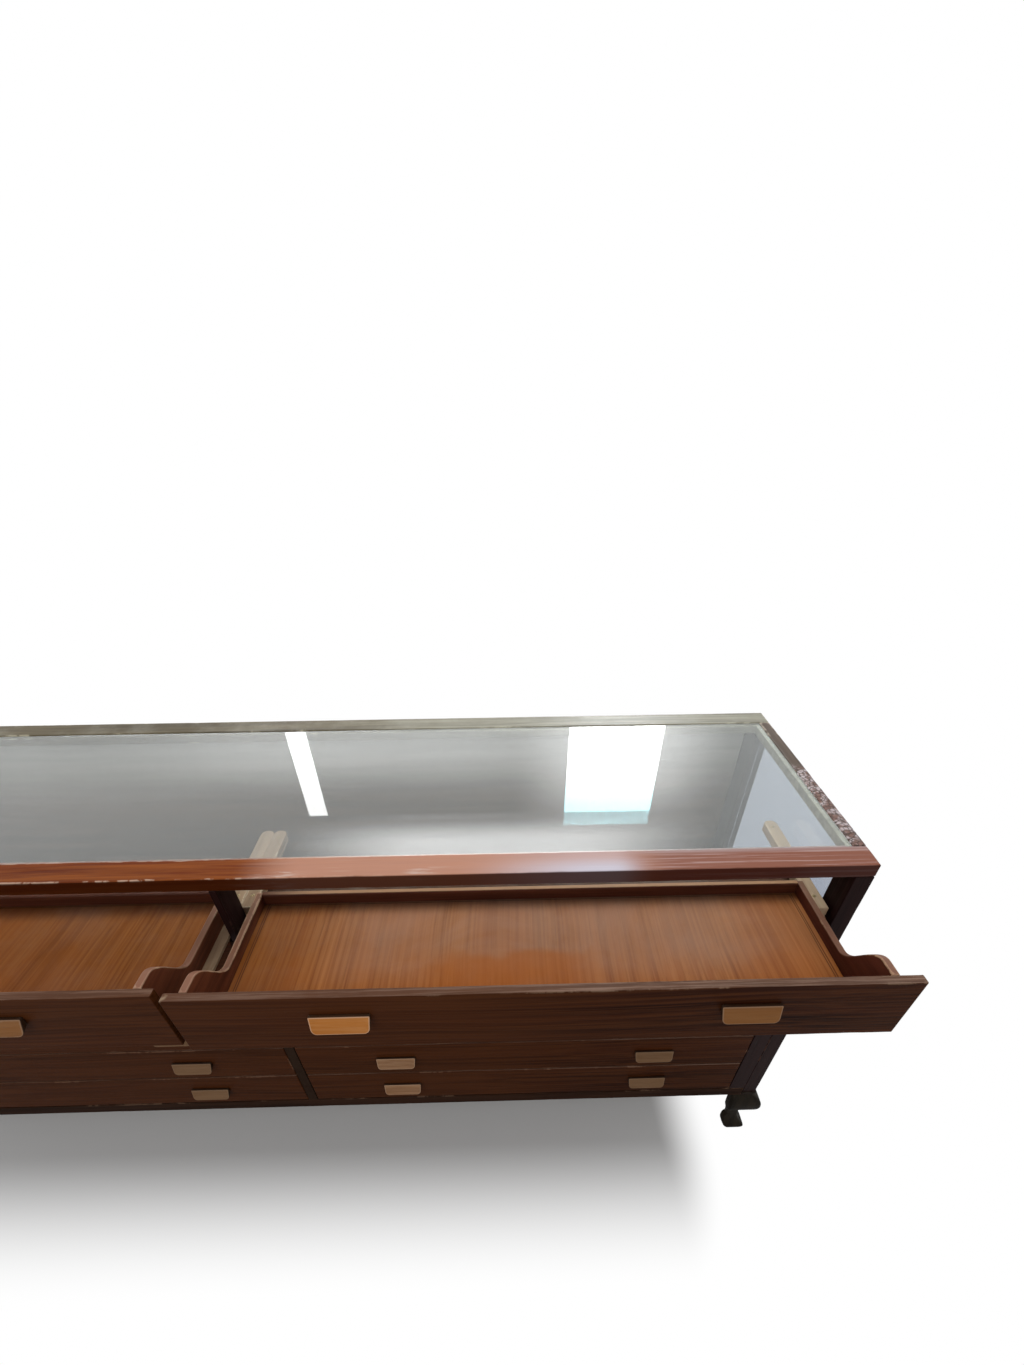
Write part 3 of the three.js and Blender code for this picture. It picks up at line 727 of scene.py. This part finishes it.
def block_surface(low, high, soften=1.0 * MM, rough=0.0, inset=6 * MM, axis=None, step=30 * MM):
    """A board between two corners, its face across its thinnest way."""
    low, high = np.minimum(low, high), np.maximum(low, high)
    size = high - low
    axis = int(np.argmin(size)) if axis is None else axis
    others = [size[index] for index in range(3) if index != axis]
    inset = min(inset, min(others) * 0.3)
    soften = min(soften, size.min() * 0.3)
    return plate_surface(rectangle(low, high, axis), [soften] * 4, axis, low[axis], high[axis],
                         soften, inset, step, rough, seed=float(low.sum()))


def board(name, node, finish, low=None, high=None, **shape):
    """A board over a CAD node's box, or over the part of it that low and high give."""
    corners = [np.array([own if value is None else value for value, own in zip(given or box, box)])
               for given, box in zip((low, high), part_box(node))]
    return finish_piece(name, block_surface(*corners, **shape), finish, node)


# Top frame, posts and panels

# The gap between neighbouring pieces, and the seam between boards of one solid
gap, seam = 0.3 * MM, 0.1 * MM
drawer_rows = range(1, 6)
front_rail_width, rear_rail_width, end_rail_width = 48 * MM, 47 * MM, 22 * MM
stile_width, lining_thickness, strip_height = 35.7 * MM, 10 * MM, 11.7 * MM
ledge_end = 1.03
rear_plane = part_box("top_rear_rail")[1].y
front_rail_back, rear_rail_front = front_plane + front_rail_width, rear_plane - rear_rail_width
ledge_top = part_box("top_glass")[0].z - gap
slow_wear = dict(rough=0.8 * MM, step=16 * MM)
post_edge = dict(soften=1.8 * MM, rough=0.8 * MM, step=18 * MM)

board("front_rail", "top_front_rail", rail_wood, high=(None, front_rail_back, None),
      soften=2.2 * MM, rough=1.3 * MM, step=12 * MM)
board("front_rail_ledge", "top_front_rail", rail_wood, low=(-ledge_end, front_rail_back, None),
      high=(ledge_end, None, ledge_top))
board("rear_rail", "top_rear_rail", rear_rail_wood, low=(None, rear_rail_front, None),
      soften=2 * MM, **slow_wear)
board("rear_rail_ledge", "top_rear_rail", rear_rail_wood, low=(-ledge_end, None, None),
      high=(ledge_end, rear_rail_front, ledge_top))
board("top_pane", "top_glass", top_glass, soften=0.5 * MM)

for hand, side in hands.items():
    rail = f"top_end_rail_{hand}"
    inner = side * (half_width - end_rail_width)
    outer_part = dict(low=(inner, None, None)) if side > 0 else dict(high=(inner, None, None))
    inner_part = (dict(high=(inner, None, ledge_top)) if side > 0
                  else dict(low=(inner, None, None), high=(None, None, ledge_top)))
    board(f"end_rail_{hand}", rail, end_rail_wood, soften=2 * MM, rough=1.5 * MM, step=10 * MM,
          **outer_part)
    board(f"end_rail_ledge_{hand}", rail, rear_rail_wood, **inner_part)
    for end in ("front", "rear"):
        board(f"{end}_post_board_{hand}", f"{end}_post_{hand}", post_wood, **post_edge)
    board(f"end_pane_{hand}", f"end_glass_{hand}", pane_glass, soften=0.4 * MM)
    board(f"end_board_{hand}", f"end_panel_{hand}", panel_wood)

board("back_board", "back_panel", back_wood)
board("bay_back_board", "bay_back", inner_wood)
board("display_floor_board", "display_floor", display_wood)
board("bottom_floor", "bottom_board", inner_wood)
frame_low, frame_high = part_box("face_frame")
base_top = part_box("bottom_board")[1].z
board("base_rail", "face_frame", base_wood, high=(None, None, base_top), soften=1.5 * MM,
      **slow_wear)
board("stile_left", "face_frame", post_wood, low=(None, None, base_top + seam),
      high=(frame_low.x + stile_width, None, None))
board("stile_right", "face_frame", post_wood,
      low=(frame_high.x - stile_width, None, base_top + seam))

# The centre post is notched at its foot, over the front edge of the display floor
post_low, post_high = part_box("centre_post")
notch_y, notch_z = front_plane + 15.7 * MM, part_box("display_floor")[1].z + gap
notched = [(post_low.y, post_low.z), (notch_y, post_low.z), (notch_y, notch_z),
           (post_high.y, notch_z), (post_high.y, post_high.z), (post_low.y, post_high.z)]
finish_piece("centre_post_board", plate_surface(
    notched, [1 * MM] * 6, X, post_low.x, post_high.x, 1 * MM, 4 * MM, 12 * MM, 0.5 * MM),
    post_wood, "centre_post")


def bay_side(name, node, board_x, *strips_x):
    """An upright board, and at each drawer's foot a strip that stands out from it."""
    low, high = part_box(node)
    upright = block_surface((board_x[0], low.y, low.z), (board_x[1], high.y, high.z),
                            soften=0.8 * MM)
    finish_piece(f"{name}_board", upright, runner_wood, node)
    tops = [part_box(f"right_drawer_{row}_box")[0].z - gap for row in drawer_rows]
    start = max(low.y, front_plane + 20 * MM + gap)
    strips = [block_surface((strip[0], start, top - strip_height), (strip[1], high.y, top))
              for strip in strips_x for top in tops]
    finish_piece(f"{name}_strips", joined(*strips), runner_wood, node)


half_partition, strip_edge = 10 * MM, 24 * MM
bay_side("partition", "centre_partition", (-half_partition, half_partition),
         (-strip_edge, -half_partition - seam), (half_partition + seam, strip_edge))
low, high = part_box("lining_right")
inner = high.x - lining_thickness
bay_side("right_lining", "lining_right", (inner, high.x), (low.x, inner - seam))
low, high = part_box("lining_left")
inner = low.x + lining_thickness
bay_side("left_lining", "lining_left", (low.x, inner), (inner + seam, high.x))


def bead_surface(low, high, height, radius):
    """A bead, half sunk in an upright, that runs round it. At angle t round the bead it stands
    radius cos t out and radius sin t up."""
    corners = [(low[X], low[Y]), (high[X], low[Y]), (high[X], high[Y]), (low[X], high[Y])]
    table, _ = outline(corners, [2 * MM] * 4, 6 * MM, 40 * MM)
    turn = np.linspace(0, 2 * np.pi, 13)[:-1]
    out, up = np.cos(turn)[None, :, None], np.sin(turn)[None, :, None]
    outward = table[:, None, 2:4]
    ring = drawn_in(table, 0.0)[:, None] + outward * (radius * out)
    around, count = ring.shape[:2]
    points = np.concatenate([ring, np.broadcast_to(height + radius * up, (around, count, 1))], 2)
    normals = np.concatenate([outward * out, np.broadcast_to(up, (around, count, 1))], 2)
    a, b = np.meshgrid(np.arange(around), np.arange(count), indexing="ij")
    a2, b2 = (a + 1) % around, (b + 1) % count
    faces = np.stack([a * count + b, a2 * count + b, a2 * count + b2, a * count + b2], -1)
    arris = np.full(around * count, 2 * MM)
    return faces.reshape(-1, 4).tolist(), points.reshape(-1, 3), normals.reshape(-1, 3), arris


for hand in hands:
    low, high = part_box(f"front_post_{hand}")
    finish_piece(f"post_bead_{hand}", bead_surface(low, high, low.z + 11 * MM, 3 * MM), foot_wood,
                 f"front_post_{hand}", replace=False)


# Feet

def through(points, count):
    """A smooth curve through the points: between two of them a cubic whose slopes at its ends are
    half the chord between their neighbours."""
    points = np.asarray(points, float)
    padded = np.concatenate([2 * points[:1] - points[1:2], points, 2 * points[-1:] - points[-2:-1]])
    place_on = np.linspace(0, len(points) - 1 - 1e-6, count)
    index = place_on.astype(int)
    t = (place_on - index)[:, None]
    p0, p1, p2, p3 = (padded[index + shift] for shift in range(4))
    return 0.5 * (2 * p1 + (p2 - p0) * t + (2 * p0 - 5 * p1 + 4 * p2 - p3) * t ** 2
                  + (3 * p1 - p0 - 3 * p2 + p3) * t ** 3)


# Reach beyond the post's corner and height, from the floor up, in millimetres
foot_height = 170.7
knee_side = [(10, 0), (15, 10), (1, 30), (-8, 53), (-10, 82), (-6, 94), (6, 99), (22, 107),
             (28, 119), (26, 135), (17, 151), (6, 163), (-4, foot_height)]
inner_side = [(-31, 0), (-40, 15), (-47, 34), (-47, 53), (-43, 61), (-42, 68), (-45, 86),
              (-51, 108), (-53, 143), (-52, foot_height)]


def foot_surface(side, front):
    """A loft of rounded L shapes up the foot: one wing along the front and one along the end. The
    wings' outer faces follow one curve of reach against height, and their ends another."""
    under_knee = [92, 94, 96, 98, 100, 103]
    heights = np.unique(np.concatenate([np.linspace(0, foot_height, 44), under_knee])) * MM
    outer, inner = through(knee_side, 160) * MM, through(inner_side, 160) * MM
    outward = np.interp(heights, outer[:, 1], outer[:, 0])
    inward = np.interp(heights, inner[:, 1], inner[:, 0])
    # It reaches less far to the front than to the end, and less far to the back than inwards
    forward, backward = outward * 12 / 32, inward * 60 / 66
    behind = np.full(len(heights), -18 * MM)
    radius = 6 * MM
    quarter = np.linspace(0, np.pi / 2, 5)
    # For each corner of the L: where it lies, which way it points and where its arc begins
    plan = ((outward, forward, 1, 1, 0), (inward, forward, -1, 1, 1), (inward, behind, -1, -1, 2),
            (behind, behind, 1, 1, None), (behind, backward, -1, -1, 2),
            (outward, backward, 1, -1, 3))
    at_u, at_v = [], []
    for u, v, way_u, way_v, turn in plan:
        angle = quarter[::-1] if turn is None else quarter + turn * np.pi / 2
        centre_u, centre_v = u - way_u * radius, v - way_v * radius
        at_u.append(centre_u[:, None] + radius * np.cos(angle)[None])
        at_v.append(centre_v[:, None] + radius * np.sin(angle)[None])
    at_u, at_v = np.concatenate(at_u, 1), np.concatenate(at_v, 1)
    corner_y, way = (front_plane, -1) if front else (rear_plane, 1)
    points = np.stack([side * (half_width + at_u), corner_y + way * at_v,
                       np.broadcast_to(heights[:, None], at_u.shape)], -1)
    if side * way < 0:
        points = points[:, ::-1]
    # The middle three of the five points of each arc are its arris
    in_arc = np.arange(at_u.shape[1]) % len(quarter)
    arris = np.where(np.isin(in_arc, (1, 2, 3)), 0.8 * MM, 5 * MM)
    arris = np.broadcast_to(arris, at_u.shape).ravel()
    points, faces = points.reshape(-1, 3), closed_grid(points)
    return faces, points, np.zeros_like(points), arris


for hand, side in hands.items():
    for end in ("front", "rear"):
        finish_piece(f"{end}_foot_{hand}", foot_surface(side, end == "front"), foot_wood,
                     f"foot_{end}_{hand}", own_normals=False)


# Pulls and fronts

pull_top_width, pull_foot_width, pull_height = 84 * MM, 80 * MM, 27.5 * MM
tray_pull_drop, lower_pull_drop, pull_spacing = 37 * MM, 44 * MM, 563 * MM
tray_front_thickness, drawer_front_thickness, side_thickness = 14 * MM, 16 * MM, 11 * MM


def pull_surface(middle_x, face_y, top):
    """A plate in the shape of the pull's face, then pushed to its depth, which grows evenly from
    the top to the foot. Towards the back its foot is lifted to leave room for the finger tips.
    The face is dished by up to 0.8 mm away from its edges."""
    low = top - pull_height
    plate, top_depth, foot_depth, finger_lift = 12 * MM, 5, 15, 8 * MM
    half_top, half_low = pull_top_width / 2, pull_foot_width / 2
    corners = [(low, -half_low), (top, -half_top), (top, half_top), (low, half_low)]
    radii = [8.5 * MM, 1.6 * MM, 1.6 * MM, 8.5 * MM]
    insets = tuple(value * MM for value in (2.2, 3.4, 5, 7.5))
    faces, points, normals, arris = plate_surface(
        corners, radii, Y, 0.0, plate, 1.6 * MM, 7.5 * MM, 6 * MM, 0.0, insets)
    fallen = np.clip((top - points[:, Z]) / pull_height, 0, 1)
    depth = (top_depth + (foot_depth - top_depth) * fallen) * MM
    share = 1 - points[:, Y] / plate
    dish = 0.8 * MM * np.clip(arris / (8 * MM), 0, 1) * share
    lifted = points.copy()
    lifted[:, Y] = face_y - 2 * seam - share * depth + dish
    lifted[:, Z] += finger_lift * (1 - share) * fallen ** 2
    lifted[:, X] += middle_x
    return faces, lifted, normals, np.minimum(arris, 6 * MM)


def front_with_pulls(name, finish, pull_finish, thickness, drop, lifted=0.0):
    """A front, with two pulls at a drop below its top edge. Lifted is the gap left under it."""
    low, high = (np.array(corner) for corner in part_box(name))
    low[Y] = high[Y] - thickness
    low[Z] += lifted
    surface = block_surface(low, high, soften=1.6 * MM, rough=1.0 * MM, axis=Y, step=14 * MM)
    finish_piece(f"{name}_board", surface, finish, name)
    middle = (low[X] + high[X]) / 2
    for hand, side in hands.items():
        pull = pull_surface(middle + side * pull_spacing / 2, low[Y], high[Z] - drop)
        finish_piece(f"{name}_pull_{hand}", pull, pull_finish, name, own_normals=False)


for hand, finish in (("left", front_wood), ("right", chipped_front_wood)):
    front_with_pulls(f"{hand}_tray_front", finish, pull_wood, tray_front_thickness, tray_pull_drop)


# Trays

def side_outline(tray_front_y, back_y):
    """The ogee side: a flat top at the front, a half cosine down to the low rear part."""
    floor_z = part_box("display_floor")[1].z
    start, foot = tray_front_y + tray_front_thickness + gap, floor_z + gap
    hump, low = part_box("front_post_left")[1].z - 1.7 * MM, floor_z + 39.5 * MM
    fall_start, fall_length = 39, 77
    share = np.linspace(0, 1, 24)
    run_y = tray_front_y + (fall_start + fall_length * share) * MM
    run_z = hump - (hump - low) * (1 - np.cos(np.pi * share)) / 2
    curve = np.stack([run_y, run_z], 1)[::-1]
    corners = [(start, foot), (back_y, foot), (back_y, low), *curve.tolist(), (start, hump)]
    radii = [1 * MM] * 3 + [0] * len(curve) + [1.5 * MM]
    return corners, radii


for hand, side in hands.items():
    tray = f"{hand}_tray"
    low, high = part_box(f"{tray}_front")
    corners, radii = side_outline(high.y - tray_front_thickness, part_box(f"{tray}_back")[1].y)
    for place_name in ("centre", "end"):
        node = f"{tray}_{place_name}_side"
        finish = centre_side_wood if place_name == "centre" else end_side_wood
        low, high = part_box(node)
        lip_top = low.z + 6 * MM
        lip_outward = side if place_name == "end" else -side
        if lip_outward > 0:
            inner = low.x + side_thickness
            board_x, lip_x = (low.x, inner), (inner + seam, high.x)
        else:
            inner = high.x - side_thickness
            board_x, lip_x = (inner, high.x), (low.x, inner - seam)
        finish_piece(f"{node}_board", plate_surface(
            corners, radii, X, *board_x, 1.6 * MM, 5 * MM, 12 * MM, 0.6 * MM), finish, node)
        finish_piece(f"{node}_lip", block_surface(
            (lip_x[0], low.y, low.z), (lip_x[1], high.y, lip_top)), bar_wood, node)
    board(f"{tray}_back_board", f"{tray}_back", tray_back_wood, soften=3.2 * MM)
    board(f"{tray}_floor", f"{tray}_bottom", veneer, soften=0.4 * MM, inset=16 * MM)


# Guide bars

bar_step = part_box("guide_bar_end_right")[0].z + 7 * MM


def bar_surface(low, high, foot_x, head_bottom):
    """The bar's head has a round rear end; its narrow foot runs below along one side."""
    radius = (high[X] - low[X]) / 2
    middle, back = (high[X] + low[X]) / 2, high[Y] - radius
    turn = np.linspace(0, np.pi, 15)
    rounded = np.stack([middle + radius * np.cos(turn), back + radius * np.sin(turn)], 1)
    corners = [(low[X], low[Y]), (high[X], low[Y]), *rounded.tolist()]
    radii = [1 * MM] * 2 + [0] * len(rounded)
    head = plate_surface(corners, radii, Z, head_bottom, high[Z], 1.5 * MM, 5 * MM, 20 * MM,
                         0.5 * MM)
    foot = block_surface((foot_x[0], low[Y], low[Z]), (foot_x[1], back, head_bottom - seam))
    return joined(head, foot)


def screw_surface(middles_x, middles_y, height):
    """Slotted round heads: at share s of the radius the head stands 1.1(1 - s^2) mm high. The slot
    is 0.9 mm deep within 0.3 mm of its line, and rises to nothing at 0.8 mm from it."""
    count, rings = 24, 9
    radius = 3.8 * MM
    share = np.linspace(0, 1, rings)[:, None]
    angle = np.linspace(0, 2 * np.pi, count, endpoint=False)[None]
    local_x, local_y = radius * share * np.cos(angle), radius * share * np.sin(angle)
    dome = 1.1 * MM * (1 - share ** 2) + 0 * angle
    slot = np.clip(1.6 - np.abs(local_x * 0.8 + local_y * 0.6) / (0.5 * MM), 0, 1) * 0.9 * MM
    local_z = np.maximum(dome - slot, -0.2 * MM)
    rim = np.stack([local_x[-1], local_y[-1], np.full(count, -1 * MM)], -1)
    one = np.concatenate([rim[None], np.stack([local_x, local_y, local_z], -1)[::-1]])
    faces, one = closed_grid(one), one.reshape(-1, 3)
    return joined(*((faces, one + (x, y, height), np.zeros_like(one), np.full(len(one), MM))
                    for x, y in zip(middles_x, middles_y)))


for hand, side in hands.items():
    for place_name in ("centre", "end"):
        node = f"guide_bar_{place_name}_{hand}"
        low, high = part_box(node)
        at_right = (place_name == "end") == (side > 0)
        foot = (high.x - 7 * MM, high.x) if at_right else (low.x, low.x + 6 * MM)
        bar_finish = pale_bar_wood if place_name == "end" else bar_wood
        finish_piece(f"{node}_bar", bar_surface(low, high, foot, bar_step), bar_finish, node)
        screws_y = np.linspace(low.y + 30 * MM, high.y - 22 * MM, 3)
        screws_x = np.full(len(screws_y), (low.x + high.x) / 2)
        finish_piece(f"{node}_screws", screw_surface(screws_x, screws_y, high.z), screw_brass,
                     node, replace=False, own_normals=False)


# Lower drawers

def box_surface(low, high):
    """Front, back and two side walls round a thin bottom that is let in above their lower edge."""
    wall = 12 * MM
    inner_low, inner_high = low + wall, high - wall
    front = block_surface((low[X], low[Y], low[Z]), (high[X], inner_low[Y], high[Z]))
    back = block_surface((low[X], inner_high[Y], low[Z]), (high[X], high[Y], high[Z]))
    walls = [block_surface((x0, inner_low[Y] + seam, low[Z]), (x1, inner_high[Y] - seam, high[Z]))
             for x0, x1 in ((low[X], inner_low[X]), (inner_high[X], high[X]))]
    floor = block_surface((inner_low[X] + seam, inner_low[Y] + seam, low[Z] + 8 * MM),
                          (inner_high[X] - seam, inner_high[Y] - seam, low[Z] + 14 * MM))
    return joined(front, back, *walls, floor)


for hand in hands:
    for row in drawer_rows:
        drawer = f"{hand}_drawer_{row}"
        front_with_pulls(f"{drawer}_front", front_wood, dull_pull_wood, drawer_front_thickness,
                         lower_pull_drop, lifted=2.2 * MM)
        box_low, box_high = (np.array(corner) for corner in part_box(f"{drawer}_box"))
        finish_piece(f"{drawer}_box_boards", box_surface(box_low, box_high), inner_side_wood,
                     f"{drawer}_box")


# Floor, light and camera

def floor_surface(reach, steps):
    """A level sheet of squares."""
    line = np.linspace(-reach, reach, steps)
    x, y = np.meshgrid(line, line, indexing="ij")
    points = np.stack([x, y, np.full_like(x, -0.2 * MM)], -1).reshape(-1, 3)
    a, b = np.meshgrid(np.arange(steps - 1), np.arange(steps - 1), indexing="ij")
    first = (a * steps + b).ravel()
    return np.stack([first, first + steps, first + steps + 1, first + 1], -1).tolist(), points


floor_faces, floor_points = floor_surface(14.0, 15)
floor_mesh = bpy.data.meshes.new("studio_floor")
floor_mesh.from_pydata(floor_points.tolist(), [], floor_faces)
floor_paint, floor_tree, floor_shader = new_material("pale_floor")
# A grey floor near the cabinet deepens its shadow there: painted shade
floor_shader.inputs["Base Color"].default_value = (0.54, 0.54, 0.54, 1)
floor_shader.inputs["Roughness"].default_value = 0.7
floor_shader.inputs["Specular IOR Level"].default_value = 0.1
floor_mesh.materials.append(floor_paint)
studio_floor = bpy.data.objects.new("studio_floor", floor_mesh)
bpy.context.scene.collection.objects.link(studio_floor)


def seen_by_eye(tree):
    """1 for rays from the camera or through glass, and 0 for light that falls or is mirrored."""
    path = place(tree, "ShaderNodeLightPath").outputs
    return maths(tree, "MAXIMUM", path["Is Camera Ray"], path["Is Transmission Ray"])


# A little way out from the cabinet the floor fades to the white of the background.
# The grey patch within that edge is set towards the front and the left, where the cabinet's shadow
# falls: a painted shadow over the real one
beyond = vectors(floor_tree, "ADD", object_point(floor_tree), (0.17, -0.074, 0.0))
beyond = vectors(floor_tree, "ABSOLUTE", beyond)
beyond = vectors(floor_tree, "SUBTRACT", beyond, (1.02, 0.26, 1.0))
beyond = vectors(floor_tree, "MAXIMUM", beyond, (0.0, 0.0, 0.0))
beyond = vectors(floor_tree, "MULTIPLY", beyond, (2.2, 1.0, 1.0))
away = vectors(floor_tree, "LENGTH", beyond)
fade = times(floor_tree, smooth(floor_tree, away, -0.04, 0.31), seen_by_eye(floor_tree))
white = place(floor_tree, "ShaderNodeEmission", {"Color": (1, 1, 1), "Strength": 1.0})
either = place(floor_tree, "ShaderNodeMixShader", {
    0: fade, 1: floor_shader.outputs[0], 2: white.outputs[0]})
feed(floor_tree, floor_tree.nodes["Material Output"].inputs["Surface"], either.outputs[0])


def soft_light(name, middle, target, width, height, radiance, edge=0.0, sky=None):
    """A rectangular soft box that faces its target, as bright as the radiance given. With an edge,
    it dims towards its rim over that share of its width and height. With a sky colour, its upper
    part takes on that colour."""
    lamp = bpy.data.lights.new(name, "AREA")
    lamp.shape = "RECTANGLE"
    lamp.size, lamp.size_y = width, height
    lamp.energy = radiance * math.pi * width * height
    if edge or sky:
        lamp.use_nodes = True
        tree = lamp.node_tree
        spot = split(tree, place(tree, "ShaderNodeNewGeometry").outputs["Parametric"])
    if edge:
        dim = 1.0
        for part in (spot[X], spot[Y]):
            inset = maths(tree, "MINIMUM", part, maths(tree, "SUBTRACT", 1.0, part))
            dim = times(tree, dim, smooth(tree, inset, 0.0, edge))
        feed(tree, tree.nodes["Emission"].inputs["Strength"], dim)
    if sky:
        shade = mixed(tree, smooth(tree, spot[Y], 0.5, 0.76), (1, 1, 1), sky)
        feed(tree, tree.nodes["Emission"].inputs["Color"], shade)
    holder = bpy.data.objects.new(name, lamp)
    holder.location = middle
    towards = Vector(target) - Vector(middle)
    holder.rotation_mode = "QUATERNION"
    holder.rotation_quaternion = towards.to_track_quat("-Z", "Y")
    holder.visible_camera = False
    bpy.context.scene.collection.objects.link(holder)


soft_light("front_box", (-1.6, -2.6, 2.6), (0.1, 0.0, 0.6), 2.2, 1.6, 1.6)
soft_light("top_box", (0.9, 1.7, 3.9), (0.1, 0.0, 0.4), 1.8, 1.8, 2.2)

# What the glass mirrors stands behind the cabinet and faces it squarely
for name, middle, width, height, radiance, manner in (
        ("window_box", (1.155, 2.2, 2.2), 0.57, 0.9, 13.0, dict(sky=(0.33, 0.66, 0.72))),
        ("strip_box", (-0.75, 2.2, 2.12), 0.12, 0.82, 6.0, {}),
        ("glow_box", (1.22, 2.3, 2.2), 1.45, 1.4, 2.3, dict(edge=0.4)),
        ("zone_box", (0.42, 2.2, 2.9), 3.15, 0.72, 4.6, dict(edge=0.36)),
        ("wall_box", (-0.3, 2.4, 2.08), 3.8, 0.9, 1.0, dict(edge=0.4)),
        ("line_box", (0.1, 2.2, 2.56), 1.7, 0.06, 1.8, dict(edge=0.35))):
    soft_light(name, middle, (middle[X], 0.0, middle[Z]), width, height, radiance, **manner)

world = bpy.data.worlds.new("white_studio")
bpy.context.scene.world = world
world.use_nodes = True
air = world.node_tree
ambient = air.nodes["Background"]
ambient.inputs["Color"].default_value = (1, 1, 1, 1)
falling = 0.72  # the background as a source of light; to the eye it is full white
feed(air, ambient.inputs["Strength"],
     plus(air, falling, times(air, seen_by_eye(air), 1.0 - falling)))

# The camera, as solved from the cabinet's straight edges. Angles are radians.
stand = Vector((0.4628, front_plane - 0.6483, 1.5150))
yaw, pitch, roll = 0.01955236, 0.70162093, 0.00841368
level = Vector((math.sin(yaw), math.cos(yaw), 0.0))
across = Vector((math.cos(yaw), -math.sin(yaw), 0.0))
up = Vector((0.0, 0.0, 1.0))
sight = level * math.cos(pitch) - up * math.sin(pitch)
down = -(up * math.cos(pitch) + level * math.sin(pitch))
camera_x = across * math.cos(roll) + down * math.sin(roll)
camera_y = across * math.sin(roll) - down * math.cos(roll)
camera_data = bpy.data.cameras.new("camera")
camera_data.sensor_width = 36.0
camera_data.lens = 14.829
camera_data.shift_y = 0.1227
camera_data.clip_start, camera_data.clip_end = 0.02, 60.0
camera = bpy.data.objects.new("camera", camera_data)
bpy.context.scene.collection.objects.link(camera)
axes = Matrix((camera_x, camera_y, -sight)).transposed()
camera.matrix_world = Matrix.Translation(stand) @ axes.to_4x4()
bpy.context.scene.camera = camera
bpy.context.scene.view_settings.view_transform = "Standard"
